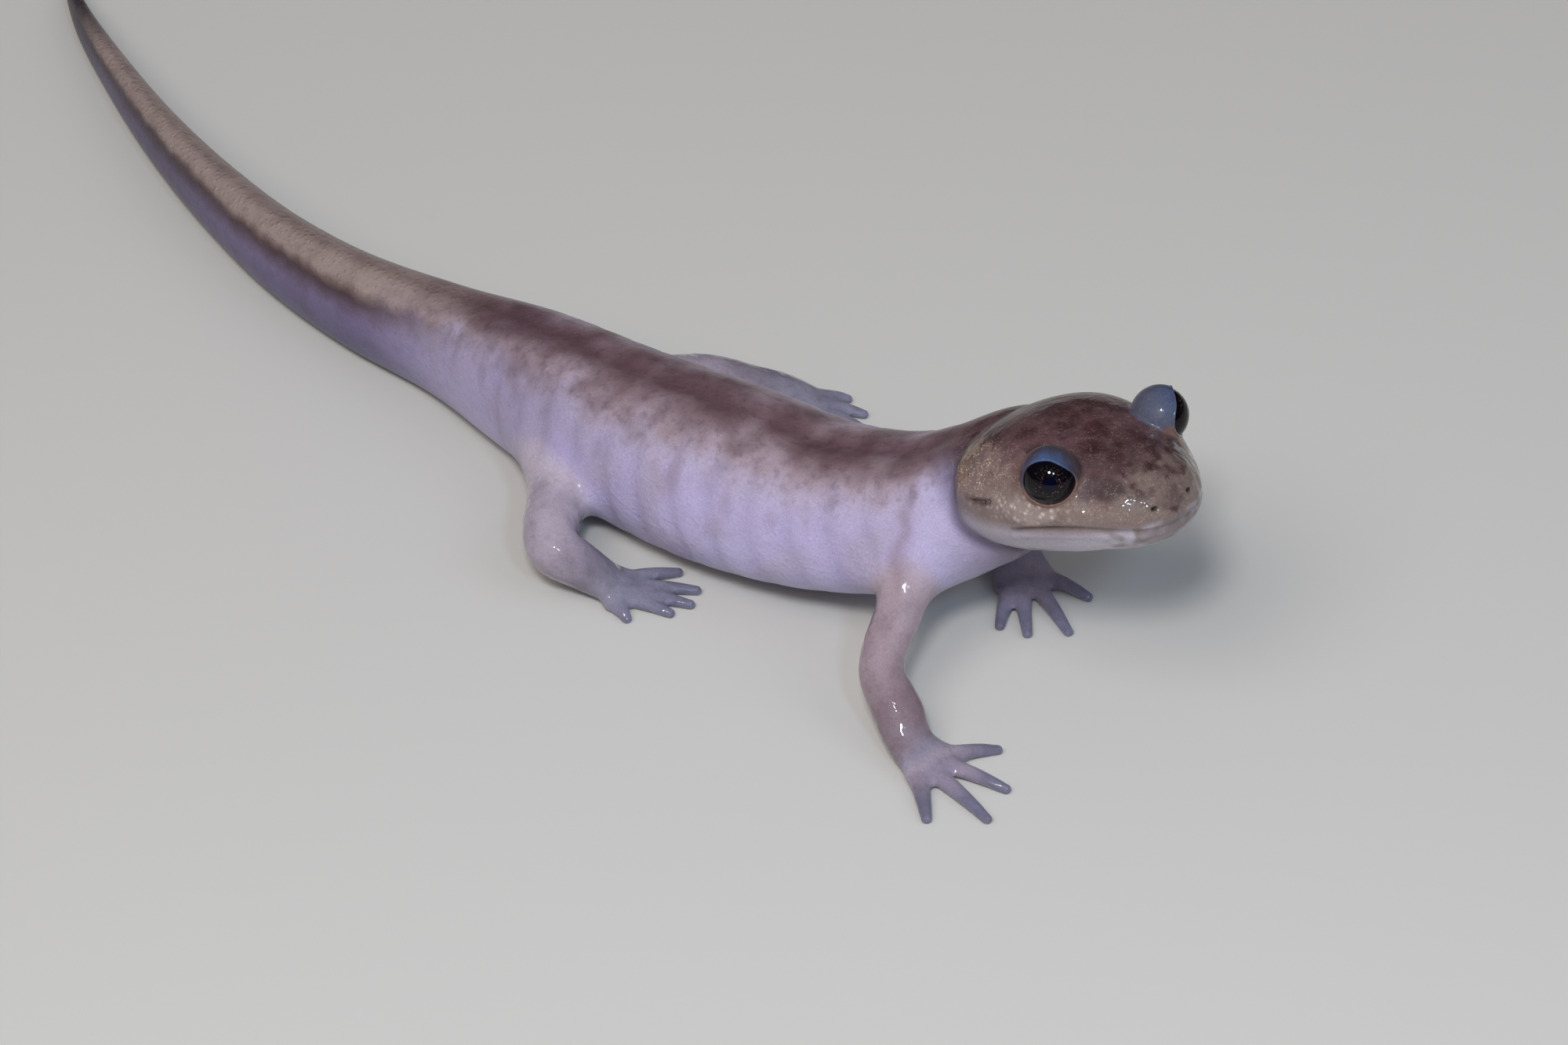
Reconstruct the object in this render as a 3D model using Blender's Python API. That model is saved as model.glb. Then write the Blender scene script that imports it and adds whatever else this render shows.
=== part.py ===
"""Northwestern salamander, a young land animal, life size, standing with its chest and head raised.

The snout points along +X, the animal's left is +Y and the floor is the plane Z = 0.
Every size below is in millimetres. Each finished mesh is turned to metres when its object is made.
"""
import math

import bmesh
import bpy
import numpy as np
from mathutils import Matrix, Vector

for old_object in list(bpy.data.objects):
    bpy.data.objects.remove(old_object, do_unlink=True)

MM = 0.001
GAP = 0.3
FLOOR_TO_ORIGIN = (20.25, -0.40)

# The axis of the body, tail tip first: x, y, z, half width, half height
AXIS = {
    "tail tip": (-66.2, 15.9, 0.43, 0.30, 0.50),
    "tail end": (-61.6, 12.5, 0.95, 0.62, 1.05),
    "tail rear": (-55.2, 8.7, 1.35, 0.90, 1.45),
    "tail middle": (-48.4, 5.2, 1.69, 1.20, 1.80),
    "tail front": (-41.6, 2.3, 2.04, 1.50, 2.15),
    "tail bend": (-34.7, 0.0, 2.39, 1.80, 2.50),
    "tail root": (-28.0, -1.2, 2.73, 2.10, 2.85),
    "vent": (-21.5, -1.4, 3.12, 2.60, 3.25),
    "pelvis": (-15.2, -2.2, 3.87, 3.60, 4.00),
    "loin": (-8.0, -3.2, 4.35, 4.50, 4.45),
    "waist": (0.0, -3.6, 5.15, 4.90, 4.60),
    "ribs": (6.0, -3.1, 6.15, 4.70, 4.40),
    "shoulder": (10.9, -2.1, 7.50, 4.25, 4.05),
    "neck": (13.6, -1.2, 9.00, 3.85, 3.60),
    "nape": (16.0, -0.5, 10.70, 3.80, 3.30),
    "skull": (20.0, -1.4, 12.10, 3.60, 3.20),
}
STATION = {name: index for index, name in enumerate(AXIS)}

TRUNK_SHARPNESS = 2.25
TAIL_SHARPNESS = 2.0
RING_POINTS_TRUNK = 30
RING_POINTS_TAIL = 22
RING_STEP_TRUNK = 0.52
RING_STEP_TAIL = 1.5

# Costal grooves: the folds in the skin between the ribs
GROOVE_COUNT = 12
GROOVE_DEPTH = 0.14
GROOVE_HALF_WIDTH = 0.42
BACK_FURROW_DEPTH = 0.18
BACK_FURROW_HALF_WIDTH = 0.75
TAIL_RIDGE_HEIGHT = 0.35
TAIL_RIDGE_HALF_WIDTH = 0.75
TAIL_TIP_REACH = (-0.35, 0.25, -0.05)

# The head has its own frame: x forward from the fold of the throat, z up from the line of the mouth
HEAD_PLACE = (15.45, -0.1, 10.65)
HEAD_YAW = -11.7
HEAD_PITCH = 18.5
HEAD_SHARPNESS_TOP = 2.3
HEAD_SHARPNESS_BOTTOM = 2.2
# x, half width, height above the mouth, depth below it
HEAD_PROFILE = (
    (-0.7, 4.10, 3.35, 2.30),
    (0.0, 4.70, 3.70, 2.60),
    (1.5, 5.10, 4.05, 2.65),
    (3.5, 5.20, 4.20, 2.55),
    (5.2, 5.10, 4.00, 2.40),
    (7.0, 4.68, 3.50, 2.15),
    (8.6, 3.90, 2.82, 1.87),
    (10.0, 2.87, 2.15, 1.55),
    (10.6, 2.16, 1.62, 1.24),
    (11.0, 1.32, 1.08, 0.88),
    (11.2, 0.50, 0.50, 0.42),
)
# Angles around one side of a head ring, closest together at the lips
HEAD_ANGLES_TOP = (0, 1.5, 4, 8, 15, 24, 33, 43, 54, 66, 78)
HEAD_ANGLES_BOTTOM = (3, 8, 16, 27, 40, 56, 73)
LIP_SWELL = 0.13
LIP_MIDDLE = 0.40
LIP_HALF_HEIGHT = 0.28
LIP_OVERHANG = 0.12
MOUTH_CORNER_X = 4.6
MOUTH_RISE = 0.40
MOUTH_DROP = 0.28

EYE_PLACE = (6.78, 3.78, 2.80)
EYE_RADIUS = 1.42
LID_RADIUS = 1.55
EYE_GAP = 0.25
EYE_BACK = 0.15
EYE_TURN = 68
EYE_TILT = 22
LID_CUT_HEIGHT = 0.62
NOSTRIL_PLACE = (10.88, 1.29, 0.78)
NOSTRIL_RADIUS = 0.23


def lengths_along(rows):
    """Distance along a path to each of its rows, whose first three values are its place."""
    return np.concatenate(([0], np.cumsum(np.linalg.norm(np.diff(rows[:, :3], axis=0), axis=1))))


def hermite_table(rows, count_between):
    """Points on a smooth curve through the rows, so many to each length between two of them."""
    rows = np.array(rows, float)
    knots = lengths_along(rows)
    slopes = np.gradient(rows, knots, axis=0)
    table = []
    for index in range(len(rows) - 1):
        span = knots[index + 1] - knots[index]
        last = index == len(rows) - 2
        for t in np.linspace(0, 1, count_between, endpoint=last):
            weights = (2 * t**3 - 3 * t**2 + 1, t**3 - 2 * t**2 + t, 3 * t**2 - 2 * t**3, t**3 - t**2)
            table.append(weights[0] * rows[index] + weights[1] * span * slopes[index]
                         + weights[2] * rows[index + 1] + weights[3] * span * slopes[index + 1])
    return np.array(table)


BETWEEN = 24
AXIS_TABLE = hermite_table(list(AXIS.values()), BETWEEN)
AXIS_LENGTHS = lengths_along(AXIS_TABLE)


def distance_to(name):
    """Distance along the body axis from the tail tip to a named station."""
    return AXIS_LENGTHS[STATION[name] * BETWEEN]


AXIS_STEP = 0.4


def axis_at(distance):
    """Centre, left, up, half width and half height of the body at a distance from the tail tip."""
    values, ahead, behind = (np.array([np.interp(place, AXIS_LENGTHS, column) for column in AXIS_TABLE.T])
                             for place in (distance, distance + AXIS_STEP, distance - AXIS_STEP))
    forward = (ahead - behind)[:3]
    forward /= np.linalg.norm(forward)
    left = np.cross((0, 0, 1), forward)
    left /= np.linalg.norm(left)
    return values[:3], left, np.cross(forward, left), values[3], values[4]


GROOVE_FIRST = distance_to("pelvis") + 1.2
GROOVE_LAST = distance_to("shoulder") - 0.9
GROOVE_SPACING = (GROOVE_LAST - GROOVE_FIRST) / (GROOVE_COUNT - 1)


def fade(value, start, end):
    """0 before start, 1 after end, smooth between."""
    t = min(max((value - start) / (end - start), 0), 1)
    return t * t * (3 - 2 * t)


def groove_depth(distance):
    """Depth of the costal grooves at a distance along the body."""
    if not GROOVE_FIRST - 1 < distance < GROOVE_LAST + 1:
        return 0
    nearest = round((distance - GROOVE_FIRST) / GROOVE_SPACING)
    nearest = min(max(nearest, 0), GROOVE_COUNT - 1)
    away = distance - GROOVE_FIRST - nearest * GROOVE_SPACING
    return GROOVE_DEPTH * math.exp(-(away / GROOVE_HALF_WIDTH) ** 2)


def body_ring(distance, points, grow=0.0):
    """One closed ring of the body's skin, counted from the left side over the back."""
    centre, left, up, half_width, half_height = axis_at(distance)
    on_tail = 1 - fade(distance, distance_to("tail root"), distance_to("pelvis"))
    sharpness = TRUNK_SHARPNESS + (TAIL_SHARPNESS - TRUNK_SHARPNESS) * on_tail
    tail_scale = half_height / AXIS["tail root"][4]
    ridge_start = fade(distance, distance_to("tail tip"), distance_to("tail rear"))
    groove = groove_depth(distance)
    ring = []
    for index in range(points):
        angle = 2 * math.pi * index / points
        side, rise = math.cos(angle), math.sin(angle)
        across = math.copysign(abs(side) ** (2 / sharpness), side) * half_width
        above = math.copysign(abs(rise) ** (2 / sharpness), rise) * half_height
        on_side = fade(abs(side), 0.25, 0.6)
        size = math.hypot(across, above)
        scale = 1 + (grow - groove * on_side) / size
        across, above = across * scale, above * scale
        if rise > 0:
            above -= (1 - on_tail) * BACK_FURROW_DEPTH * math.exp(-(across / BACK_FURROW_HALF_WIDTH) ** 2)
            above += (on_tail * ridge_start * TAIL_RIDGE_HEIGHT * tail_scale
                      * math.exp(-(across / (TAIL_RIDGE_HALF_WIDTH * tail_scale)) ** 2))
        place = centre + left * across + up * above
        place[2] = max(place[2], 0 if grow == 0 else -GAP)
        ring.append(place)
    return ring


def loft(name, rings, start_point=None, end_point=None):
    """A closed mesh through rings, each end closed by a flat face or drawn to a point."""
    mesh = bmesh.new()
    grid = [[mesh.verts.new(place) for place in ring] for ring in rings]
    for lower, upper in zip(grid, grid[1:]):
        for index in range(len(lower)):
            following = (index + 1) % len(lower)
            mesh.faces.new((lower[index], lower[following], upper[following], upper[index]))
    for ring, tip, turned in ((grid[0], start_point, True), (grid[-1], end_point, False)):
        order = list(reversed(ring)) if turned else ring
        if tip is None:
            mesh.faces.new(order)
        else:
            peak = mesh.verts.new(tip)
            for index in range(len(order)):
                mesh.faces.new((order[index], order[(index + 1) % len(order)], peak))
    return mesh


def to_object(name, mesh):
    """Puts a bmesh into an object and frees it."""
    mesh.normal_update()
    data = bpy.data.meshes.new(name)
    mesh.to_mesh(data)
    mesh.free()
    made = bpy.data.objects.new(name, data)
    bpy.context.scene.collection.objects.link(made)
    return made


def boolean(target, others, operation):
    """Applies one Boolean of the others to the target, then removes the others."""
    helpers = bpy.data.collections.new("helpers")
    bpy.context.scene.collection.children.link(helpers)
    for other in others:
        helpers.objects.link(other)
    change = target.modifiers.new("shape", "BOOLEAN")
    change.operation = operation
    change.operand_type = "COLLECTION"
    change.collection = helpers
    change.solver = "EXACT"
    bpy.context.view_layer.update()
    result = bpy.data.meshes.new_from_object(target.evaluated_get(bpy.context.evaluated_depsgraph_get()))
    target.modifiers.clear()
    old = target.data
    target.data = result
    bpy.data.meshes.remove(old)
    for other in others:
        bpy.data.objects.remove(other, do_unlink=True)
    bpy.data.collections.remove(helpers)
    keep_largest(target)
    return target


def keep_largest(target):
    """Keeps the largest closed surface of a mesh."""
    mesh = bmesh.new()
    mesh.from_mesh(target.data)
    bmesh.ops.remove_doubles(mesh, verts=mesh.verts, dist=0.0015)
    bmesh.ops.dissolve_degenerate(mesh, edges=mesh.edges, dist=0.0015)
    waiting = set(mesh.faces)
    groups = []
    while waiting:
        front = [waiting.pop()]
        group = list(front)
        while front:
            face = front.pop()
            for edge in face.edges:
                for other in edge.link_faces:
                    if other in waiting:
                        waiting.remove(other)
                        front.append(other)
                        group.append(other)
        groups.append(group)
    groups.sort(key=lambda group: sum(face.calc_area() for face in group))
    scraps = [face for group in groups[:-1] for face in group]
    bmesh.ops.delete(mesh, geom=scraps, context="FACES")
    mesh.to_mesh(target.data)
    mesh.free()


def material(name, colour, roughness):
    """A plain wet-skin material of one colour."""
    made = bpy.data.materials.new(name)
    made.use_nodes = True
    shader = made.node_tree.nodes["Principled BSDF"]
    shader.inputs["Base Color"].default_value = (*colour, 1)
    shader.inputs["Roughness"].default_value = roughness
    shader.inputs["Metallic"].default_value = 0
    return made


SKIN_BACK = material("skin_back", (0.17, 0.11, 0.10), 0.3)
SKIN_FLANK = material("skin_flank", (0.40, 0.31, 0.36), 0.3)
SKIN_TAIL = material("skin_tail", (0.33, 0.22, 0.17), 0.3)
SKIN_LIMB = material("skin_limb", (0.30, 0.22, 0.21), 0.3)
SKIN_FOOT = material("skin_foot", (0.28, 0.28, 0.33), 0.3)
EYE_DARK = material("eye_dark", (0.01, 0.012, 0.02), 0.08)


def finish(made, finish_material):
    """Gives a node its material, smooth shading and its place in metres with the floor at the origin."""
    place = Matrix.Diagonal((MM, MM, MM, 1)) @ Matrix.Translation((*FLOOR_TO_ORIGIN, 0))
    made.data.transform(place)
    made.data.materials.clear()
    made.data.materials.append(finish_material)
    made.data.shade_smooth()
    made.data.set_sharp_from_angle(angle=math.radians(50))
    return made


def steps(start, end, step):
    """Evenly spaced values from start to end, about one step apart."""
    return np.linspace(start, end, max(2, round((end - start) / step) + 1))


def body_length(name, start, end, step, points, finish_material, tip=False):
    """One length of the body between two distances, with half the gap left free at each end."""
    low = start if tip else start + GAP / 2
    rings = [body_ring(distance, points) for distance in steps(low, end - GAP / 2, step)]
    tip_place = axis_at(low)[0] + TAIL_TIP_REACH if tip else None
    return finish(to_object(name, loft(name, rings, start_point=tip_place)), finish_material)


def trunk_cutter(start, end, grow):
    """The body's own form, grown, that the limbs are cut by."""
    rings = [body_ring(distance, RING_POINTS_TRUNK, grow) for distance in steps(start, end, RING_STEP_TRUNK)]
    return to_object("cutter", loft("cutter", rings))


# The head and its parts
HEAD_FRAME = (Matrix.Translation(HEAD_PLACE) @ Matrix.Rotation(math.radians(HEAD_YAW), 4, "Z")
              @ Matrix.Rotation(-math.radians(HEAD_PITCH), 4, "Y"))


def mouth_height(x):
    """Height of the mouth line, which rises from its corner and then drops to the tip of the snout."""
    t = min(max((x - MOUTH_CORNER_X) / (HEAD_PROFILE[-1][0] - MOUTH_CORNER_X), 0), 1)
    return MOUTH_RISE * math.sin(math.pi * t) - MOUTH_DROP * t * t


def head_angles():
    """The angles of a whole head ring, from the left side over the top."""
    top = [math.radians(angle) for angle in HEAD_ANGLES_TOP]
    bottom = [-math.radians(angle) for angle in HEAD_ANGLES_BOTTOM]
    over = top + [math.pi / 2] + [math.pi - angle for angle in reversed(top)]
    under = [math.pi - angle for angle in bottom] + [1.5 * math.pi] + list(reversed(bottom))
    return over + under


def head_ring(x, half_width, top, bottom, inset):
    """One ring of the head, with the swelling of the lips along the mouth line."""
    ring = []
    for angle in head_angles():
        side, rise = math.cos(angle), math.sin(angle)
        sharpness = HEAD_SHARPNESS_TOP if rise > 0 else HEAD_SHARPNESS_BOTTOM
        across = math.copysign(abs(side) ** (2 / sharpness), side) * (half_width - inset)
        above = math.copysign(abs(rise) ** (2 / sharpness), rise) * (top if rise > 0 else bottom)
        from_mouth = abs(above - mouth_height(x)) - LIP_MIDDLE
        lip = LIP_SWELL * fade(x, MOUTH_CORNER_X - 1, MOUTH_CORNER_X + 1)
        across *= 1 + lip * math.exp(-(from_mouth / LIP_HALF_HEIGHT) ** 2) / half_width
        ring.append(HEAD_FRAME @ Vector((x, across, above)))
    return ring


def head_solid(name, inset=0.0):
    """The whole head as one form, before the mouth, eyes and nostrils."""
    table = hermite_table([(x, 0, 0, w, t, b) for x, w, t, b in HEAD_PROFILE], 3)
    rings = [head_ring(row[0], row[3], row[4], row[5], inset) for row in table]
    tip = HEAD_FRAME @ Vector((HEAD_PROFILE[-1][0] + 0.1 - inset, 0, 0.1))
    return to_object(name, loft(name, rings, end_point=tip))


def jaw_block(lift, back):
    """A block under the mouth line that parts the lower jaw from the head."""
    reach, depth = 8, 8
    across = []
    for x in np.linspace(MOUTH_CORNER_X - back, HEAD_PROFILE[-1][0] + 2, 12):
        height = mouth_height(x) + lift
        across.append([HEAD_FRAME @ Vector((x, side * reach, level))
                       for side, level in ((1, -depth), (1, height), (-1, height), (-1, -depth))])
    return to_object("jaw block", loft("jaw block", across))


def eye_frame(side):
    """The frame of one eye: x looks out of the head, z is up along the lid."""
    place = Vector((EYE_PLACE[0], side * EYE_PLACE[1], EYE_PLACE[2]))
    return (HEAD_FRAME @ Matrix.Translation(place) @ Matrix.Rotation(math.radians(side * EYE_TURN), 4, "Z")
            @ Matrix.Rotation(-math.radians(EYE_TILT), 4, "Y"))


def ball(frame, radius, around=24, along=14):
    """A sphere in a frame, with its poles on the frame's x."""
    mesh = bmesh.new()
    bmesh.ops.create_uvsphere(mesh, u_segments=around, v_segments=along, radius=radius,
                              matrix=frame @ Matrix.Rotation(math.radians(90), 4, "Y"))
    return to_object("ball", mesh)


def eye_block(side, spare):
    """The block that holds the open part of one eye: in front of its back and below the upper lid."""
    reach = 4
    back, top = EYE_BACK - spare, LID_CUT_HEIGHT + spare
    mesh = bmesh.new()
    size = Matrix.Diagonal((reach, 2 * reach, reach, 1))
    centre = Matrix.Translation((back + reach / 2, 0, top - reach / 2))
    bmesh.ops.create_cube(mesh, size=1, matrix=eye_frame(side) @ centre @ size)
    return to_object("eye block", mesh)


def nostril(side):
    """The pit of one nostril."""
    place = Matrix.Translation((NOSTRIL_PLACE[0], side * NOSTRIL_PLACE[1], NOSTRIL_PLACE[2]))
    return ball(HEAD_FRAME @ place, NOSTRIL_RADIUS, 10, 6)


def make_head():
    """Upper head with its lids and nostrils, lower jaw and both eyes."""
    jaw = head_solid("lower_jaw", LIP_OVERHANG)
    boolean(jaw, [jaw_block(-GAP, -GAP)], "INTERSECT")
    finish(jaw, SKIN_FLANK)
    head = head_solid("head")
    boolean(head, [ball(eye_frame(side), LID_RADIUS) for side in (1, -1)], "UNION")
    openings = [jaw_block(0, 0), nostril(1), nostril(-1)]
    for side, name in ((1, "eye_left"), (-1, "eye_right")):
        eye = ball(eye_frame(side), EYE_RADIUS)
        eye.name = name
        boolean(eye, [eye_block(side, 0)], "INTERSECT")
        finish(eye, EYE_DARK)
        socket = ball(eye_frame(side), LID_RADIUS + 0.4)
        boolean(socket, [eye_block(side, EYE_GAP)], "INTERSECT")
        openings.append(socket)
    boolean(head, openings, "DIFFERENCE")
    finish(head, SKIN_BACK)


make_head()

# The trunk and the tail
NECK_END = distance_to("nape") + 1.2
BORDERS = {
    "tail_tip": (0, distance_to("tail middle")),
    "tail_middle": (distance_to("tail middle"), distance_to("tail bend")),
    "tail_base": (distance_to("tail bend"), distance_to("vent")),
    "pelvis": (distance_to("vent"), distance_to("pelvis") + 2.5),
    "abdomen": (distance_to("pelvis") + 2.5, distance_to("ribs") - 3),
    "chest": (distance_to("ribs") - 3, distance_to("shoulder") + 1.2),
}
for node_name, (node_start, node_end) in BORDERS.items():
    if node_name.startswith("tail"):
        body_length(node_name, node_start, node_end, RING_STEP_TAIL, RING_POINTS_TAIL, SKIN_TAIL,
                    tip=node_name == "tail_tip")
    else:
        body_length(node_name, node_start, node_end, RING_STEP_TRUNK, RING_POINTS_TRUNK, SKIN_FLANK)


def cut_flat(made, point, normal):
    """Cuts a closed object by a plane and drops what lies on the normal's side."""
    reach = 30
    turn = Vector(normal).to_track_quat("Z", "Y").to_matrix().to_4x4()
    mesh = bmesh.new()
    bmesh.ops.create_cube(mesh, size=reach, matrix=Matrix.Translation(point) @ turn
                          @ Matrix.Translation((0, 0, reach / 2)))
    return boolean(made, [to_object("half space", mesh)], "DIFFERENCE")


def make_neck():
    """The neck, from the chest to the fold of the throat, where a flat cut meets the head."""
    start = BORDERS["chest"][1] + GAP / 2
    rings = [body_ring(distance, RING_POINTS_TRUNK) for distance in steps(start, NECK_END, RING_STEP_TRUNK)]
    neck = to_object("neck", loft("neck", rings))
    back_of_head = HEAD_FRAME @ Vector((HEAD_PROFILE[0][0] - GAP, 0, 0))
    cut_flat(neck, back_of_head, HEAD_FRAME.to_3x3() @ Vector((1, 0, 0)))
    return finish(neck, SKIN_BACK)


make_neck()

# The limbs: places of the shoulder, elbow, wrist and knuckles, or hip, knee, ankle and knuckles
LIMBS = {
    "arm_right": ((11.6, -4.0, 6.9), (13.75, -10.0, 2.95), (16.9, -11.65, 0.95), (18.55, -11.85, 0.32)),
    "arm_left": ((11.2, 0.2, 6.7), (9.4, 6.2, 3.2), (12.0, 4.4, 1.0), (13.5, 3.1, 0.32)),
    "leg_right": ((-12.0, -4.2, 3.6), (-5.9, -11.6, 2.45), (-3.9, -10.4, 1.0), (-2.3, -9.5, 0.34)),
    "leg_left": ((-12.4, -0.2, 3.5), (-9.2, 5.9, 1.8), (-6.2, 8.1, 1.0), (-4.0, 8.7, 0.34)),
}
# Half widths and half thicknesses at the joints and half way between them
ARM_SIZES = ((1.70, 1.70), (1.32, 1.32), (1.20, 1.20), (1.28, 1.14), (1.28, 0.84), (1.56, 0.60), (1.76, 0.46))
LEG_SIZES = ((2.00, 1.90), (1.62, 1.55), (1.40, 1.38), (1.36, 1.16), (1.38, 0.88), (1.62, 0.64), (1.82, 0.48))
LIMB_RING_POINTS = 16
LIMB_RING_STEP = 0.75

TOE_TIPS = {
    "arm_right": ((20.1, -8.35), (22.35, -10.75), (22.9, -13.35), (20.35, -15.3)),
    "arm_left": ((14.4, -0.7), (16.0, -0.3), (17.7, 1.2), (16.9, 4.4)),
    "leg_right": ((-1.6, -6.7), (0.2, -7.4), (0.7, -8.6), (0.3, -9.9), (-1.3, -11.8)),
    "leg_left": ((-2.6, 6.6), (-1.4, 7.8), (-1.2, 9.0), (-1.9, 10.2), (-3.6, 10.9)),
}
JOINT_ROUNDING = 1.06
TOE_ROOT_HALF_WIDTH = 0.52
TOE_TIP_HALF_WIDTH = 0.30
TOE_THINNING = 0.85
TOE_RING_POINTS = 10
TOE_RINGS = (0, 0.3, 0.6, 0.85, 0.95)
TOE_SPREAD = 0.8
PALM_END_SIZE = 0.72
PALM_END_REACH = 0.45
FLOOR_SINK = 0.72


def rounded_ring(centre, forward, half_width, half_thickness, points):
    """An oval ring around a limb or toe, wider across than it is thick."""
    across = Vector((0, 0, 1)).cross(forward).normalized()
    over = forward.cross(across)
    return [centre + across * (half_width * math.cos(angle)) + over * (half_thickness * math.sin(angle))
            for angle in np.linspace(0, 2 * math.pi, points, endpoint=False)]


def limb_rings(rows, start, end):
    """Rings along the smooth path through rows of places and sizes, between two shares of its length."""
    table = hermite_table(rows, BETWEEN)
    lengths = lengths_along(table)
    rings = []
    for distance in steps(start * lengths[-1], end * lengths[-1], LIMB_RING_STEP):
        row, ahead, behind = ([np.interp(place, lengths, column) for column in table.T]
                              for place in (distance, distance + 0.3, distance - 0.3))
        forward = (Vector(ahead[:3]) - Vector(behind[:3])).normalized()
        rings.append(rounded_ring(Vector(row[:3]), forward, row[3], row[4], LIMB_RING_POINTS))
    return rings


def bone_rows(start, end, sizes):
    """Rows from one joint to the next, with one half way."""
    middle = (np.array(start) + np.array(end)) / 2
    return [(*start, *sizes[0]), (*middle, *sizes[1]), (*end, *sizes[2])]


def toe(root, tip):
    """One toe from inside the palm to its rounded tip, lying on the floor."""
    forward = (tip - root).normalized()
    length = (tip - root).length
    rings = []
    for along in TOE_RINGS:
        half_width = TOE_ROOT_HALF_WIDTH + (TOE_TIP_HALF_WIDTH - TOE_ROOT_HALF_WIDTH) * along
        half_width *= math.sqrt(1 - max(0, 1 - (1 - along) * length / half_width) ** 2)
        centre = root + forward * (along * length)
        centre.z = half_width * TOE_THINNING * FLOOR_SINK
        rings.append(rounded_ring(centre, forward, half_width, half_width * TOE_THINNING, TOE_RING_POINTS))
    end = Vector((tip.x, tip.y, rings[-1][0].z))
    return to_object("toe", loft("toe", rings, end_point=end))


def floor_block():
    """Everything below the floor."""
    mesh = bmesh.new()
    below = Matrix.Translation((0, 0, -5)) @ Matrix.Diagonal((200, 200, 10, 1))
    bmesh.ops.create_cube(mesh, size=1, matrix=below)
    return to_object("floor block", mesh)


def bone(name, rings, joint, joint_radius):
    """One length of a limb with a round elbow or knee."""
    made = to_object(name, loft(name, rings))
    return boolean(made, [ball(Matrix.Translation(joint), joint_radius * JOINT_ROUNDING, 16, 10)], "UNION")


def make_foot(name, knuckles, forward, palm_rings, tips, half_width):
    """A hand or foot: the flat palm and its toes."""
    palm_rings.append([knuckles + (point - knuckles) * PALM_END_SIZE + forward * PALM_END_REACH
                       for point in palm_rings[-1]])
    foot = to_object(name, loft(name, palm_rings))
    across = Vector((-forward.y, forward.x, 0))
    toes = []
    for tip_place in tips:
        tip = Vector((*tip_place, 0))
        away = tip - Vector((knuckles.x, knuckles.y, 0))
        sideways = away.dot(across) / away.length
        root = Vector((knuckles.x, knuckles.y, 0)) + across * (sideways * half_width * TOE_SPREAD)
        toes.append(toe(root - forward * (0.3 * abs(sideways)), tip))
    boolean(foot, toes, "UNION")
    boolean(foot, [floor_block()], "DIFFERENCE")
    return finish(foot, SKIN_FOOT)


def make_limb(limb, upper_name, lower_name, foot_name):
    """Upper part, lower part and hand or foot of one limb."""
    root, bend, ankle, knuckles = (Vector(place) for place in LIMBS[limb])
    sizes = ARM_SIZES if limb.startswith("arm") else LEG_SIZES
    turn = ((bend - root).normalized() + (ankle - bend).normalized()).normalized()
    upper = bone(upper_name, limb_rings(bone_rows(root, bend, sizes[0:3]), 0, 1), bend, sizes[2][0])
    cut_flat(upper, bend - turn * (GAP / 2), turn)
    body = trunk_cutter(distance_to("vent"), distance_to("nape"), GAP)
    boolean(upper, [body], "DIFFERENCE")
    finish(upper, SKIN_LIMB)
    rows = bone_rows(bend, ankle, sizes[2:5]) + bone_rows(ankle, knuckles, sizes[4:7])[1:]
    lower_share = (ankle - bend).length / ((ankle - bend).length + (knuckles - ankle).length)
    lower = bone(lower_name, limb_rings(rows, 0, lower_share), bend, sizes[2][0])
    cut_flat(lower, bend + turn * (GAP / 2), -turn)
    boolean(lower, [floor_block()], "DIFFERENCE")
    finish(lower, SKIN_LIMB)
    foot_rings = limb_rings(rows, lower_share + GAP / (ankle - bend).length * lower_share, 1)
    forward = Vector((knuckles.x - ankle.x, knuckles.y - ankle.y, 0)).normalized()
    make_foot(foot_name, knuckles, forward, foot_rings, TOE_TIPS[limb], sizes[6][0])


for limb_side in ("right", "left"):
    make_limb("arm_" + limb_side, "upper_arm_" + limb_side, "forearm_" + limb_side, "hand_" + limb_side)
    make_limb("leg_" + limb_side, "thigh_" + limb_side, "shank_" + limb_side, "foot_" + limb_side)
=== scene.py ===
"""A young northwestern salamander, wet from the rain, as a still life-size model."""
import math

import bmesh
import bpy
import numpy as np
from mathutils import Matrix, Vector, noise


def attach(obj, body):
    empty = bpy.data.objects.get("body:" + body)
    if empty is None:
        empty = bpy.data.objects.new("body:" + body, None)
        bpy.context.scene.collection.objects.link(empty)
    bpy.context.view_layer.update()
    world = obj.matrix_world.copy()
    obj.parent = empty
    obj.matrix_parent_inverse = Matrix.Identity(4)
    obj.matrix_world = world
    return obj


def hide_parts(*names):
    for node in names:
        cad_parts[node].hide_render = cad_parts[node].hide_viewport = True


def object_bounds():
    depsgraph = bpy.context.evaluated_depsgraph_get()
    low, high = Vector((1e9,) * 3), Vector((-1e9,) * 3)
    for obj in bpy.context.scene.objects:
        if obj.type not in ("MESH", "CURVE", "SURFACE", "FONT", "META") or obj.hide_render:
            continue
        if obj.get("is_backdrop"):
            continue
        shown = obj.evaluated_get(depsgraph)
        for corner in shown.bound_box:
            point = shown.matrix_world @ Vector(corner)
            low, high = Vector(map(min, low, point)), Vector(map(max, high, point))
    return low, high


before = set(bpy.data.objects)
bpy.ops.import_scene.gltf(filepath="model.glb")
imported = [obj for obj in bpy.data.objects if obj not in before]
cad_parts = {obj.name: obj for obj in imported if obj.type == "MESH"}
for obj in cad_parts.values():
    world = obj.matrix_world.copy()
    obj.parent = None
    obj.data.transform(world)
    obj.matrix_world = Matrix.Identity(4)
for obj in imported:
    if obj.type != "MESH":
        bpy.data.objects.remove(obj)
cad_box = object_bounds()

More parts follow.
